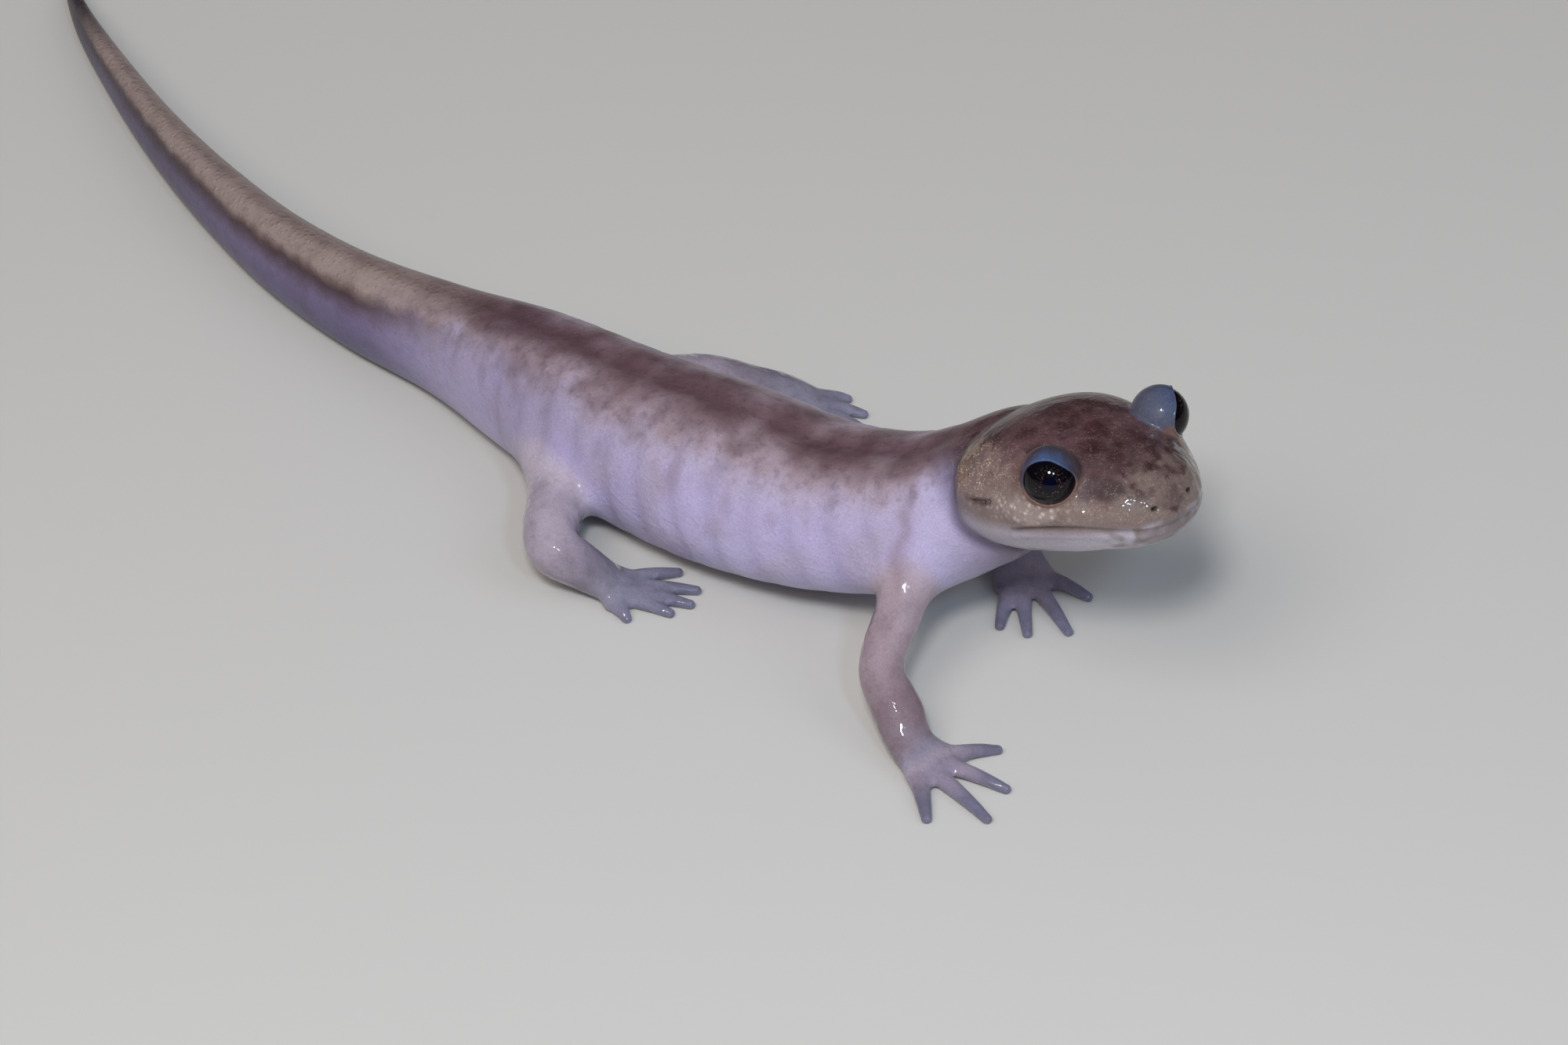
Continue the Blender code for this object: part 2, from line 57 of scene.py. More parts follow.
# The camera stands to the right of the animal's head and looks down on it, as the photo was taken. Its lens
# is long, so the tail far behind isn't drawn much smaller than the head.
MM = 0.001
# Where the animal's own origin, on the floor under its waist, lies in the frame (millimetres)
ORIGIN_IN_FRAME = np.array((20.25, -0.40, 0.0))
CAMERA_DISTANCE = 300
CAMERA_PITCH = math.radians(38)
CAMERA_HEADING = math.radians(37)
PHOTO_WIDTH_PX = 2000
FOCAL_LENGTH_PX = 7200
SENSOR_WIDTH = 36

camera_data = bpy.data.cameras.new("camera")
camera_data.sensor_width = SENSOR_WIDTH
camera_data.lens = FOCAL_LENGTH_PX / PHOTO_WIDTH_PX * SENSOR_WIDTH
camera_data.clip_start = 10 * MM
camera = bpy.data.objects.new("camera", camera_data)
bpy.context.scene.collection.objects.link(camera)
camera_turn = Matrix.Rotation(CAMERA_HEADING, 4, "Z") @ Matrix.Rotation(math.pi / 2 - CAMERA_PITCH, 4, "X")
camera_aim = Matrix.Translation(Vector(ORIGIN_IN_FRAME) * MM)
camera.matrix_world = camera_aim @ camera_turn @ Matrix.Translation((0, 0, CAMERA_DISTANCE * MM))
bpy.context.scene.camera = camera


# The floor is a plain board under pale matt paint, without a pattern. It reaches so far that its edge doesn't
# show behind the animal.
def srgb(hex_colour, alpha=1.0):
    """A hex colour as the linear values that a shader reads."""
    values = [int(hex_colour[i:i + 2], 16) / 255 for i in (1, 3, 5)]
    return (*[v / 12.92 if v <= 0.04045 else ((v + 0.055) / 1.055) ** 2.4 for v in values], alpha)


def add_node(tree, kind, settings=None, inputs=None):
    """Adds a node, sets its properties, and fills or links its inputs."""
    made = tree.nodes.new("ShaderNode" + kind)
    for key, value in (settings or {}).items():
        setattr(made, key, value)
    for key, value in (inputs or {}).items():
        if isinstance(value, bpy.types.NodeSocket):
            tree.links.new(value, made.inputs[key])
        else:
            made.inputs[key].default_value = value
    return made


def new_material(name, inputs):
    """A material with one Principled shader, and its node tree."""
    made = bpy.data.materials.new(name)
    made.use_nodes = True
    shader = made.node_tree.nodes["Principled BSDF"]
    for key, value in inputs.items():
        shader.inputs[key].default_value = value
    return made, made.node_tree, shader


FLOOR_HALF_SIZE = 1.5
painted_board = new_material("matt painted board", {"Base Color": srgb("#b9b7b4"), "Roughness": 0.75})[0]
floor_mesh = bpy.data.meshes.new("floor")
corner_signs = ((-1, -1), (1, -1), (1, 1), (-1, 1))
floor_corners = [(x * FLOOR_HALF_SIZE, y * FLOOR_HALF_SIZE, 0) for x, y in corner_signs]
floor_mesh.from_pydata(floor_corners, [], [(0, 1, 2, 3)])
floor_mesh.materials.append(painted_board)
floor = bpy.data.objects.new("floor", floor_mesh)
bpy.context.scene.collection.objects.link(floor)
floor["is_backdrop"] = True


# Two soft boxes light the animal, and two small flash heads beside the lens leave the paired sparkles on
# its wet skin. The soft boxes and the room aren't mirrored in it. Each lamp is placed by its turn from the
# camera, its height and its distance.
def add_lamp(name, turn, height, distance, size, power, colour):
    """A disc lamp aimed at the middle of the animal."""
    data = bpy.data.lights.new(name, "AREA")
    data.shape = "DISK"
    data.size = size * MM
    data.energy = power
    data.color = srgb(colour)[:3]
    lamp = bpy.data.objects.new(name, data)
    bpy.context.scene.collection.objects.link(lamp)
    lamp_turn = (Matrix.Rotation(CAMERA_HEADING + math.radians(turn), 4, "Z")
                 @ Matrix.Rotation(math.pi / 2 - math.radians(height), 4, "X"))
    lamp.matrix_world = camera_aim @ lamp_turn @ Matrix.Translation((0, 0, distance * MM))
    return lamp


key = add_lamp("key soft box", -38, 52, 1300, 800, 7.6, "#fff6ee")
fill = add_lamp("fill soft box", 62, 40, 1300, 850, 2.8, "#eef2ff")
key.visible_glossy = fill.visible_glossy = False
add_lamp("flash by the lens", -5, 49, 300, 46, 0.46, "#ffffff")
add_lamp("second flash by the lens", 17, 44, 300, 36, 0.17, "#c4e4ff")
world = bpy.data.worlds.new("pale studio")
world.use_nodes = True
world.node_tree.nodes["Background"].inputs["Color"].default_value = srgb("#c9ccd2")
world.node_tree.nodes["Background"].inputs["Strength"].default_value = 0.36
world.cycles_visibility.glossy = False
bpy.context.scene.world = world
bpy.context.scene.view_settings.view_transform = "Standard"


# The skin is one wet, smooth sheet over the whole animal. It is drawn as a distance: how far any point
# lies outside the animal. Each part below gives its own distance, in millimetres, and soft unions join them.
# The trunk and tail follow one bent axis, tail tip first: x, y, z, half width, half height.
AXIS = {
    "tail tip": (-66.2, 15.9, 0.43, 0.30, 0.50),
    "tail end": (-61.6, 12.5, 0.95, 0.62, 1.05),
    "tail rear": (-55.2, 8.7, 1.35, 0.90, 1.45),
    "tail middle": (-48.4, 5.2, 1.69, 1.20, 1.80),
    "tail front": (-41.6, 2.3, 2.04, 1.50, 2.15),
    "tail bend": (-34.7, 0.0, 2.39, 1.80, 2.50),
    "tail root": (-28.0, -1.2, 2.73, 2.10, 2.85),
    "vent": (-21.5, -1.4, 3.12, 2.60, 3.25),
    "pelvis": (-15.2, -2.2, 3.87, 3.60, 4.00),
    "loin": (-8.0, -3.2, 4.35, 4.50, 4.45),
    "waist": (0.0, -3.6, 5.15, 4.90, 4.60),
    "ribs": (6.0, -3.1, 5.78, 4.70, 4.02),
    "shoulder": (10.9, -2.1, 7.25, 4.25, 3.80),
    "neck": (13.6, -1.2, 8.93, 3.85, 3.53),
    "nape": (16.0, -0.5, 10.40, 3.80, 2.95),
    "skull": (19.0, -1.2, 11.80, 3.20, 1.80),
}
ROWS_BETWEEN = 24
TRUNK_SHARPNESS = 2.25
TAIL_SHARPNESS = 2.0
GROOVE_COUNT = 12
GROOVE_DEPTH = 0.09
GROOVE_HALF_WIDTH = 0.36
GROOVE_SLANT = 0.12
SHOULDER_FOLD_DEPTH = 0.12
SHOULDER_FOLD_HALF_WIDTH = 0.38
SHOULDER_FOLD_SLANT = 0.028
SHOULDER_FOLD_BEHIND = 0.08
BACK_FURROW_DEPTH = 0.18
BACK_FURROW_HALF_WIDTH = 0.75
TAIL_RIDGE_HEIGHT = 0.24
TAIL_RIDGE_LEAN = (34, 50)
# Where round the section each fold ends (degrees of lean)
GROOVE_ENDS = ((62, 30), (-60, -25))
SHOULDER_FOLD_ENDS = ((68, 48), (-35, -10))
BACK_FURROW_EDGE = (40, 70)
TINY = 1e-6
POINTS_AT_ONCE = 20000


def fade(value, start, end):
    """0 on start's side, 1 on end's side, smooth between."""
    t = np.clip((value - start) / (end - start), 0, 1)
    return t * t * (3 - 2 * t)


def bell(value, half_width):
    """1 at zero, falling off smoothly over the half width on both sides."""
    return np.exp(-(value / half_width) ** 2)


def smooth_min(first, second, blend):
    """The nearer of two distances, with the corner between them filled over the blend."""
    share = np.clip(0.5 + 0.5 * (second - first) / blend, 0, 1)
    return second + (first - second) * share - blend * share * (1 - share)


def unit(vectors):
    """Vectors of length one."""
    return vectors / np.linalg.norm(vectors, axis=-1, keepdims=True)


def lengths_along(rows):
    """Distance along a path to each of its rows, whose first three values are its place."""
    return np.concatenate(([0], np.cumsum(np.linalg.norm(np.diff(rows[:, :3], axis=0), axis=1))))


def hermite_table(rows, count_between):
    """Points on a smooth curve through the rows, so many to each length between two of them."""
    rows = np.array(rows, float)
    knots = lengths_along(rows)
    slopes = np.gradient(rows, knots, axis=0)
    table = []
    for index in range(len(rows) - 1):
        span = knots[index + 1] - knots[index]
        last = index == len(rows) - 2
        for t in np.linspace(0, 1, count_between, endpoint=last):
            weights = (2 * t**3 - 3 * t**2 + 1, t**3 - 2 * t**2 + t, 3 * t**2 - 2 * t**3, t**3 - t**2)
            table.append(weights[0] * rows[index] + weights[1] * span * slopes[index]
                         + weights[2] * rows[index + 1] + weights[3] * span * slopes[index + 1])
    return np.array(table)


def make_tube(rows, count_between):
    """A bent tube: its centre line, the directions across it, and its half widths and half heights."""
    table = hermite_table(rows, count_between)
    centre = table[:, :3]
    forward = unit(np.gradient(centre, axis=0))
    left = unit(np.cross((0, 0, 1), forward))
    lengths = lengths_along(table)
    return {"centre": centre, "forward": forward, "left": left, "up": np.cross(forward, left),
            "sizes": table[:, 3:], "lengths": lengths, "spacing": np.gradient(lengths)}


def read_rows(rows, place):
    """Rows of a table, read between its lines."""
    low = np.minimum(place.astype(int), len(rows) - 2)
    share = place - low
    if rows.ndim == 2:
        share = share[:, None]
    return rows[low] * (1 - share) + rows[low + 1] * share


def beside(tube, points):
    """Where points lie beside a tube: its row, and how far past its end, to its left and above it."""
    centre, forward = tube["centre"], tube["forward"]
    last = len(centre) - 1
    nearest = np.empty(len(points))
    for start in range(0, len(points), POINTS_AT_ONCE):
        part = points[start:start + POINTS_AT_ONCE]
        nearest[start:start + POINTS_AT_ONCE] = ((centre ** 2).sum(1) - 2 * part @ centre.T).argmin(1)
    row = nearest
    for _ in range(3):
        offset = points - read_rows(centre, row)
        step = (offset * read_rows(forward, row)).sum(1) / read_rows(tube["spacing"], row)
        row = np.clip(row + step, np.maximum(nearest - 0.5, 0), np.minimum(nearest + 0.5, last))
    offset = points - read_rows(centre, row)
    past = np.where((row <= 0) | (row >= last), np.abs((offset * read_rows(forward, row)).sum(1)), 0)
    across = (offset * read_rows(tube["left"], row)).sum(1)
    above = (offset * read_rows(tube["up"], row)).sum(1)
    return row, past, across, above


def oval_distance(across, above, half_width, half_height, sharpness):
    """Distance out of a rounded oval section."""
    reach = np.hypot(across, above) + TINY
    powers = np.abs(across / half_width) ** sharpness + np.abs(above / half_height) ** sharpness
    size = powers ** (1 / sharpness)
    return reach - reach / np.maximum(size, TINY)


def lean_of(across, above):
    """How far round a section a point lies: 0 degrees on either side, 90 on the back, -90 on the belly."""
    return np.degrees(np.arctan2(above, np.abs(across) + TINY))


def within(lean, bands):
    """1 inside bands round a section, 0 past their ends."""
    share = 1.0
    for start, end in bands:
        share = share * fade(lean, start, end)
    return share


def round_end(distance, past, radius):
    """The distance beyond a tube's end, which is rounded."""
    return np.where(past > 0, np.hypot(np.maximum(distance + radius, 0), past) - radius, distance)


TRUNK = make_tube(list(AXIS.values()), ROWS_BETWEEN)
STATION = {name: TRUNK["lengths"][min(index * ROWS_BETWEEN, len(TRUNK["lengths"]) - 1)]
           for index, name in enumerate(AXIS)}
GROOVES_FROM_LIMBS = 1.2
GROOVE_FIRST = STATION["pelvis"] + GROOVES_FROM_LIMBS
GROOVE_LAST = STATION["shoulder"] - GROOVES_FROM_LIMBS
GROOVE_SPACING = (GROOVE_LAST - GROOVE_FIRST) / (GROOVE_COUNT - 1)


def from_shoulder_fold(along, lean):
    """Distance along the body to the fold that runs up from behind the arm."""
    return along - STATION["shoulder"] - SHOULDER_FOLD_BEHIND - SHOULDER_FOLD_SLANT * lean


def groove_offset(along, above):
    """Distance along the body to the nearest costal groove, the fold in the skin between two ribs."""
    place = along + above * GROOVE_SLANT
    nearest = np.clip(np.round((place - GROOVE_FIRST) / GROOVE_SPACING), 0, GROOVE_COUNT - 1)
    return place - GROOVE_FIRST - nearest * GROOVE_SPACING


def trunk_distance(points):
    """Distance out of the trunk and tail, with their grooves, the back's furrow and the tail's ridge."""
    row, past, across, above = beside(TRUNK, points)
    sizes = read_rows(TRUNK["sizes"], row)
    half_width, half_height = sizes[:, 0], sizes[:, 1]
    along = read_rows(TRUNK["lengths"], row)
    on_tail = 1 - fade(along, STATION["tail root"], STATION["pelvis"])
    sharpness = TRUNK_SHARPNESS + (TAIL_SHARPNESS - TRUNK_SHARPNESS) * on_tail
    distance = oval_distance(across, above, half_width, half_height, sharpness)
    lean = lean_of(across / half_width, above / half_height)
    grooves = bell(groove_offset(along, above), GROOVE_HALF_WIDTH) * within(lean, GROOVE_ENDS)
    shoulder_fold = bell(from_shoulder_fold(along, lean), SHOULDER_FOLD_HALF_WIDTH)
    furrow = (1 - on_tail) * bell(across, BACK_FURROW_HALF_WIDTH) * fade(lean, *BACK_FURROW_EDGE)
    distance += GROOVE_DEPTH * grooves + BACK_FURROW_DEPTH * furrow
    distance += SHOULDER_FOLD_DEPTH * shoulder_fold * within(lean, SHOULDER_FOLD_ENDS)
    from_tip = fade(along, STATION["tail tip"], STATION["tail rear"])
    ridge = on_tail * from_tip * fade(lean, *TAIL_RIDGE_LEAN)
    distance -= TAIL_RIDGE_HEIGHT * ridge * half_height / AXIS["tail root"][4]
    return round_end(distance, past, np.minimum(half_width, half_height))


# The head is broad and flat, with a blunt snout. Its own frame has x forward from the fold of the throat,
# y to its left, and z up from the line of the mouth.
HEAD_PLACE = (15.45, -0.1, 10.65)
HEAD_YAW = -11.7
HEAD_PITCH = 18.5
HEAD_SHARPNESS_TOP = 2.3
HEAD_SHARPNESS_BOTTOM = 2.2
# x, half width, height above the mouth, depth below it
HEAD_PROFILE = (
    (-0.7, 4.10, 2.75, 2.30),
    (0.0, 4.70, 3.25, 2.60),
    (1.5, 5.10, 3.83, 2.65),
    (3.5, 5.20, 4.14, 2.55),
    (5.2, 5.10, 3.97, 2.40),
    (7.0, 4.68, 3.50, 2.15),
    (8.6, 3.90, 2.82, 1.87),
    (10.0, 2.87, 2.15, 1.70),
    (10.6, 2.22, 1.68, 1.48),
    (11.0, 1.55, 1.20, 1.20),
    (11.30, 0.0, 0.0, 0.0),
)
EYE_PLACE = (6.78, 3.78, 2.80)
EYE_TURN = 68
EYE_TILT = 22
LID_RADIUS = 1.53
LID_BLEND = 0.28
HEAD_BLEND = 0.55
NAPE_BLEND = 1.5

HEAD_FRAME = (Matrix.Translation(HEAD_PLACE) @ Matrix.Rotation(math.radians(HEAD_YAW), 4, "Z")
              @ Matrix.Rotation(-math.radians(HEAD_PITCH), 4, "Y"))
HEAD_AXES = np.array(HEAD_FRAME.to_3x3())
HEAD_TABLE = hermite_table([(x, 0, 0, w * w, t * t, b * b) for x, w, t, b in HEAD_PROFILE], 8)
# Soft swellings: name: (x, y, z), radii, height. Both sides have each one.
HEAD_SWELLINGS = {
    "parotoid gland": ((2.0, 4.0, 2.2), (2.4, 1.7, 1.4), 0.22),
    "jaw muscle": ((3.0, 5.0, -0.4), (1.8, 1.6, 1.5), 0.18),
    "rim under the eye": ((6.6, 4.6, 1.2), (2.0, 1.2, 0.6), 0.16),
    "top of the snout": ((9.0, 0.9, 2.6), (1.6, 0.9, 1.0), 0.10),
    "hollow before the eye": ((8.9, 2.9, 1.7), (0.9, 0.9, 0.8), -0.16),
    "hollow between the eyes": ((6.6, 0.0, 3.7), (2.2, 1.3, 1.2), -0.12),
}


def in_head(points):
    """Points in the head's own frame."""
    return (points - np.array(HEAD_PLACE)) @ HEAD_AXES


def mirrored(points):
    """The same points with both sides of the head laid on its left side."""
    return np.stack((points[:, 0], np.abs(points[:, 1]), points[:, 2]), 1)


def swelling(points, centre, radii):
    """1 at a swelling's centre, falling off over its radii."""
    return np.exp(-(((points - np.array(centre)) / np.array(radii)) ** 2).sum(1))


def head_section(place):
    """The head's half width, and its height above and below the mouth, where it is nearest to places."""
    x = np.clip(place[:, 0], HEAD_TABLE[0, 0], HEAD_TABLE[-1, 0])
    return x, *[np.sqrt(np.interp(x, HEAD_TABLE[:, 0], HEAD_TABLE[:, k])) + TINY for k in (3, 4, 5)]


def head_distance(points):
    """Distance out of the head, with the glands, the jaw's muscles and the domes of the lids."""
    place = mirrored(in_head(points))
    x, half_width, top, bottom = head_section(place)
    above = place[:, 2]
    half_height = np.where(above > 0, top, bottom)
    sharpness = np.where(above > 0, HEAD_SHARPNESS_TOP, HEAD_SHARPNESS_BOTTOM)
    distance = oval_distance(place[:, 1], above, half_width, half_height, sharpness)
    for centre, radii, height in HEAD_SWELLINGS.values():
        distance -= height * swelling(place, centre, radii)
    distance = round_end(distance, np.abs(place[:, 0] - x), np.minimum(half_width, half_height))
    lid = np.linalg.norm(place - np.array(EYE_PLACE), axis=1) - LID_RADIUS
    return smooth_min(distance, lid, LID_BLEND)


# Each limb is one tube from inside the trunk to the knuckles, flattened towards the palm or sole, with
# four toes on a hand and five on a foot. The floor flattens the soles, the belly and the tail a little.
# Shoulder, elbow, wrist and knuckles, or hip, knee, ankle and knuckles
LIMBS = {
    "arm_right": ((11.6, -4.0, 6.9), (13.75, -10.0, 2.95), (16.9, -11.65, 0.95), (18.55, -11.85, 0.32)),
    "arm_left": ((11.2, 0.2, 6.7), (9.4, 6.2, 3.2), (12.0, 4.4, 1.0), (13.5, 3.1, 0.32)),
    "leg_right": ((-12.0, -4.2, 3.6), (-5.9, -11.6, 2.45), (-4.0, -10.5, 1.0), (-3.05, -9.95, 0.34)),
    "leg_left": ((-12.4, -0.2, 3.5), (-9.2, 5.9, 1.8), (-6.2, 8.1, 1.0), (-4.0, 8.7, 0.34)),
}
# Half widths and half thicknesses at the joints and half way between them
ARM_SIZES = ((1.62, 1.62), (1.24, 1.24), (1.18, 1.18), (1.32, 1.16), (1.28, 0.84), (1.52, 0.60), (1.68, 0.46))
LEG_SIZES = ((2.00, 1.90), (1.62, 1.55), (1.40, 1.38), (1.36, 1.16), (1.32, 0.88), (1.46, 0.64), (1.56, 0.48))
TOE_TIPS = {
    "arm_right": ((20.1, -8.35), (22.35, -10.75), (22.9, -13.35), (20.35, -15.3)),
    "arm_left": ((14.4, -0.7), (16.0, -0.3), (17.7, 1.2), (16.9, 4.4)),
    "leg_right": ((-1.6, -6.7), (0.2, -7.4), (0.7, -8.6), (0.3, -9.9), (-1.3, -11.8)),
    "leg_left": ((-2.6, 6.6), (-1.4, 7.8), (-1.2, 9.0), (-1.9, 10.2), (-3.6, 10.9)),
}
TOE_SPREAD = 0.8
OUTER_TOES_BACK = 0.3
TOE_SIZES = ((0.56, 0.40), (0.46, 0.35), (0.37, 0.30), (0.27, 0.25))
TOE_TIP_REACH = 0.9
TOE_ARCH = 0.14
TOE_SINK = 0.06
TOE_BLEND = 0.45
SHOULDER_BLEND = 1.7
LIMB_BLEND = 0.2
LIMB_REACH = 2.4
LIMB_ROOM = 3.4
NAPE_EDGE = (0.8, 2.6)
SHOULDER_END = (0.15, 0.45)
FLOOR_BLEND = 0.12


def between(start, end, share=0.5):
    """The place a share of the way from start to end."""
    return np.array(start) + (np.array(end) - np.array(start)) * share


def make_toe(knuckles, forward, tip, half_width):
    """One toe, which lies on the floor from inside the palm to its rounded tip."""
    across = np.array((-forward[1], forward[0]))
    away = np.array(tip) - knuckles[:2]
    length = np.linalg.norm(away)
    sideways = away @ across / length
    root = knuckles[:2] + across * sideways * half_width * TOE_SPREAD
    root -= forward * OUTER_TOES_BACK * abs(sideways)
    end = np.array(tip) - away / length * TOE_SIZES[-1][0]
    rows = []
    for index, (half, thick) in enumerate(TOE_SIZES):
        share = index / (len(TOE_SIZES) - 1)
        arch = TOE_ARCH * math.sin(math.pi * share)
        rows.append((*between(root, end, share), thick - TOE_SINK + arch, half, thick))
    return make_tube(rows, 6)


def make_limb(name):
    """One limb's tube, its toes, and the box that holds them."""
    root, bend, ankle, knuckles = LIMBS[name]
    sizes = ARM_SIZES if name.startswith("arm") else LEG_SIZES
    places = (root, between(root, bend), bend, between(bend, ankle), ankle, between(ankle, knuckles),
              knuckles)
    tube = make_tube([(*place, *size) for place, size in zip(places, sizes)], 12)
    forward = unit(np.array(knuckles[:2]) - np.array(ankle[:2]))
    toes = [make_toe(np.array(knuckles), forward, tip, sizes[-1][0]) for tip in TOE_TIPS[name]]
    held = np.vstack([tube["centre"]] + [toe["centre"] for toe in toes])
    return {"tube": tube, "toes": toes, "low": held.min(0) - LIMB_ROOM, "high": held.max(0) + LIMB_ROOM}


def tube_distance(tube, points):
    """Distance out of a tube with an oval section and rounded ends, and its row beside each point."""
    row, past, across, above = beside(tube, points)
    sizes = read_rows(tube["sizes"], row)
    distance = oval_distance(across, above, sizes[:, 0], sizes[:, 1], 2)
    return round_end(distance, past, sizes.min(1)), row


def limb_distance(limb, points):
    """Distance out of one limb with its toes, and how far down the limb each point lies, from 0 to 1."""
    distance, row = tube_distance(limb["tube"], points)
    for toe in limb["toes"]:
        near = np.linalg.norm(points - toe["centre"].mean(0), axis=1) < toe["lengths"][-1] / 2 + LIMB_REACH
        toe_distance = tube_distance(toe, points[near])[0]
        distance[near] = smooth_min(distance[near], toe_distance, TOE_BLEND)
    return distance, row / (len(limb["tube"]["centre"]) - 1)


LIMB_FORMS = {name: make_limb(name) for name in LIMBS}


def skin_distance(points):
    """Distance out of the whole animal."""
    over_mouth = in_head(points)[:, 2]
    nape_blend = HEAD_BLEND + (NAPE_BLEND - HEAD_BLEND) * fade(over_mouth, *NAPE_EDGE)
    distance = smooth_min(trunk_distance(points), head_distance(points), nape_blend)
    for limb in LIMB_FORMS.values():
        near = ((points > limb["low"]) & (points < limb["high"])).all(1)
        if near.any():
            limb_part, down = limb_distance(limb, points[near])
            blend = SHOULDER_BLEND + (LIMB_BLEND - SHOULDER_BLEND) * fade(down, *SHOULDER_END)
            distance[near] = smooth_min(distance[near], limb_part, blend)
    return -smooth_min(-distance, points[:, 2], FLOOR_BLEND)


# The skin's mesh is a net of quads through the cells that the surface crosses, drawn onto the surface. It is
# made finer on the head, the hands and the feet, and finest on the face and the tips of the toes.
NET_STEP = 0.285
COARSE_CELLS = 4
NET_MARGIN = 1.5
NEAR_SURFACE = 1.8


def grid_points(low, step, shape):
    """The points of a block, in its order."""
    axes = [low[k] + step * np.arange(shape[k]) for k in range(3)]
    return np.stack([a.ravel() for a in np.meshgrid(*axes, indexing="ij")], 1)


def distance_block():
    """Distances on a block round the animal, exact near its skin."""
    centres = np.vstack([TRUNK["centre"]] + [limb["low"] + 2 for limb in LIMB_FORMS.values()]
                        + [limb["high"] - 2 for limb in LIMB_FORMS.values()]
                        + [np.array(HEAD_FRAME @ Vector((HEAD_PROFILE[-1][0], 0, 5)))])
    low = centres.min(0) - NET_MARGIN
    low[2] = -NET_MARGIN
    coarse_step = NET_STEP * COARSE_CELLS
    coarse_shape = np.ceil((centres.max(0) + NET_MARGIN - low) / coarse_step).astype(int) + 1
    coarse = skin_distance(grid_points(low + coarse_step / 2 - NET_STEP / 2, coarse_step, coarse_shape))
    values = coarse.reshape(coarse_shape)
    for axis in range(3):
        values = values.repeat(COARSE_CELLS, axis)
    near = np.argwhere(np.abs(values) < NEAR_SURFACE)
    values[tuple(near.T)] = skin_distance(low + near * NET_STEP)
    return values, low


def surface_net(values, low, step):
    """Points and quads of the surface where the block's distances pass zero."""
    cells, crossings, turned = [], [], []
    for axis in range(3):
        lower = tuple(slice(0, -1) if k == axis else slice(None) for k in range(3))
        upper = tuple(slice(1, None) if k == axis else slice(None) for k in range(3))
        start, end = values[lower], values[upper]
        edge = np.argwhere((start < 0) != (end < 0))
        before, after = start[tuple(edge.T)], end[tuple(edge.T)]
        crossing = edge.astype(float)
        crossing[:, axis] += before / (before - after)
        next_axis, last_axis = (axis + 1) % 3, (axis + 2) % 3
        around = np.repeat(edge[:, None, :], 4, axis=1)
        around[:, 1:3, next_axis] -= 1
        around[:, 2:4, last_axis] -= 1
        cells.append(around)
        crossings.append(crossing)
        turned.append(before > 0)
    cells, crossings, turned = np.concatenate(cells), np.concatenate(crossings), np.concatenate(turned)
    ids = np.ravel_multi_index(tuple(cells.reshape(-1, 3).T), values.shape)
    quads = np.unique(ids, return_inverse=True)[1]
    count = np.bincount(quads)
    corners = np.repeat(crossings, 4, axis=0)
    points = np.stack([np.bincount(quads, weights=corners[:, k]) / count for k in range(3)], 1)
    quads = quads.reshape(-1, 4)
    quads[turned] = quads[turned][:, ::-1]
    return low + points * step, quads


def slope_at(points, distance, nudge=0.01):
    """How the distance grows along x, y and z at each point."""
    return np.stack([(skin_distance(points + nudge * axis) - distance) / nudge for axis in np.eye(3)], 1)


def onto_surface(points):
    """Points moved onto the skin, and the way out of it there."""
    distance = skin_distance(points)
    slope = slope_at(points, distance)
    move = np.clip(distance / np.maximum((slope ** 2).sum(1), 0.2), -NET_STEP, NET_STEP)
    return points - move[:, None] * slope, unit(slope + TINY)


def to_neighbours(points, edges):
    """The way from each point to the middle of its neighbours."""
    count = np.bincount(edges.ravel(), minlength=len(points))[:, None]
    total = np.zeros_like(points)
    for near, far in ((0, 1), (1, 0)):
        for k in range(3):
            beyond = points[edges[:, far], k]
            total[:, k] += np.bincount(edges[:, near], weights=beyond, minlength=len(points))
    return total / count - points


def mesh_points(mesh):
    """A mesh's points as an array."""
    values = np.empty(len(mesh.vertices) * 3)
    mesh.vertices.foreach_get("co", values)
    return values.reshape(-1, 3)


def set_mesh_points(mesh, points):
    """Moves a mesh's points."""
    mesh.vertices.foreach_set("co", points.ravel())
    mesh.update()


def settle(mesh, rounds):
    """Lays a mesh on the skin's surface and evens it out along it, so that thin tips keep their length."""
    edges = np.empty(len(mesh.edges) * 2, int)
    mesh.edges.foreach_get("vertices", edges)
    points, outward = onto_surface(mesh_points(mesh))
    for _ in range(rounds):
        move = 0.5 * to_neighbours(points, edges.reshape(-1, 2))
        move -= outward * (move * outward).sum(1)[:, None]
        points, outward = onto_surface(points + move)
    set_mesh_points(mesh, onto_surface(points)[0])


def refine(mesh, wanted):
    """Splits in four the faces whose points are all wanted."""
    chosen = wanted(mesh_points(mesh))
    worked = bmesh.new()
    worked.from_mesh(mesh)
    worked.verts.ensure_lookup_table()
    faces = [face for face in worked.faces if all(chosen[vert.index] for vert in face.verts)]
    edges = list({edge for face in faces for edge in face.edges})
    bmesh.ops.subdivide_edges(worked, edges=edges, cuts=1, use_grid_fill=True)
    worked.to_mesh(mesh)
    worked.free()


ON_LIMB_GAP = 0.3


def down_limbs(points):
    """How far down a limb each point lies, from 0 on the trunk to 1 past the knuckles."""
    down = np.zeros(len(points))
    for limb in LIMB_FORMS.values():
        near = ((points > limb["low"]) & (points < limb["high"])).all(1)
        distance, share = limb_distance(limb, points[near])
        down[near] = np.where(distance < ON_LIMB_GAP, np.maximum(down[near], share), down[near])
    return down


MOUTH_CORNER_X = 4.6
MOUTH_RISE = 0.42
MOUTH_DROP = 0.42
NOSTRIL_PLACE = (10.88, 1.16, 0.68)
NOSTRIL_RADII = (0.60, 0.15, 0.10)
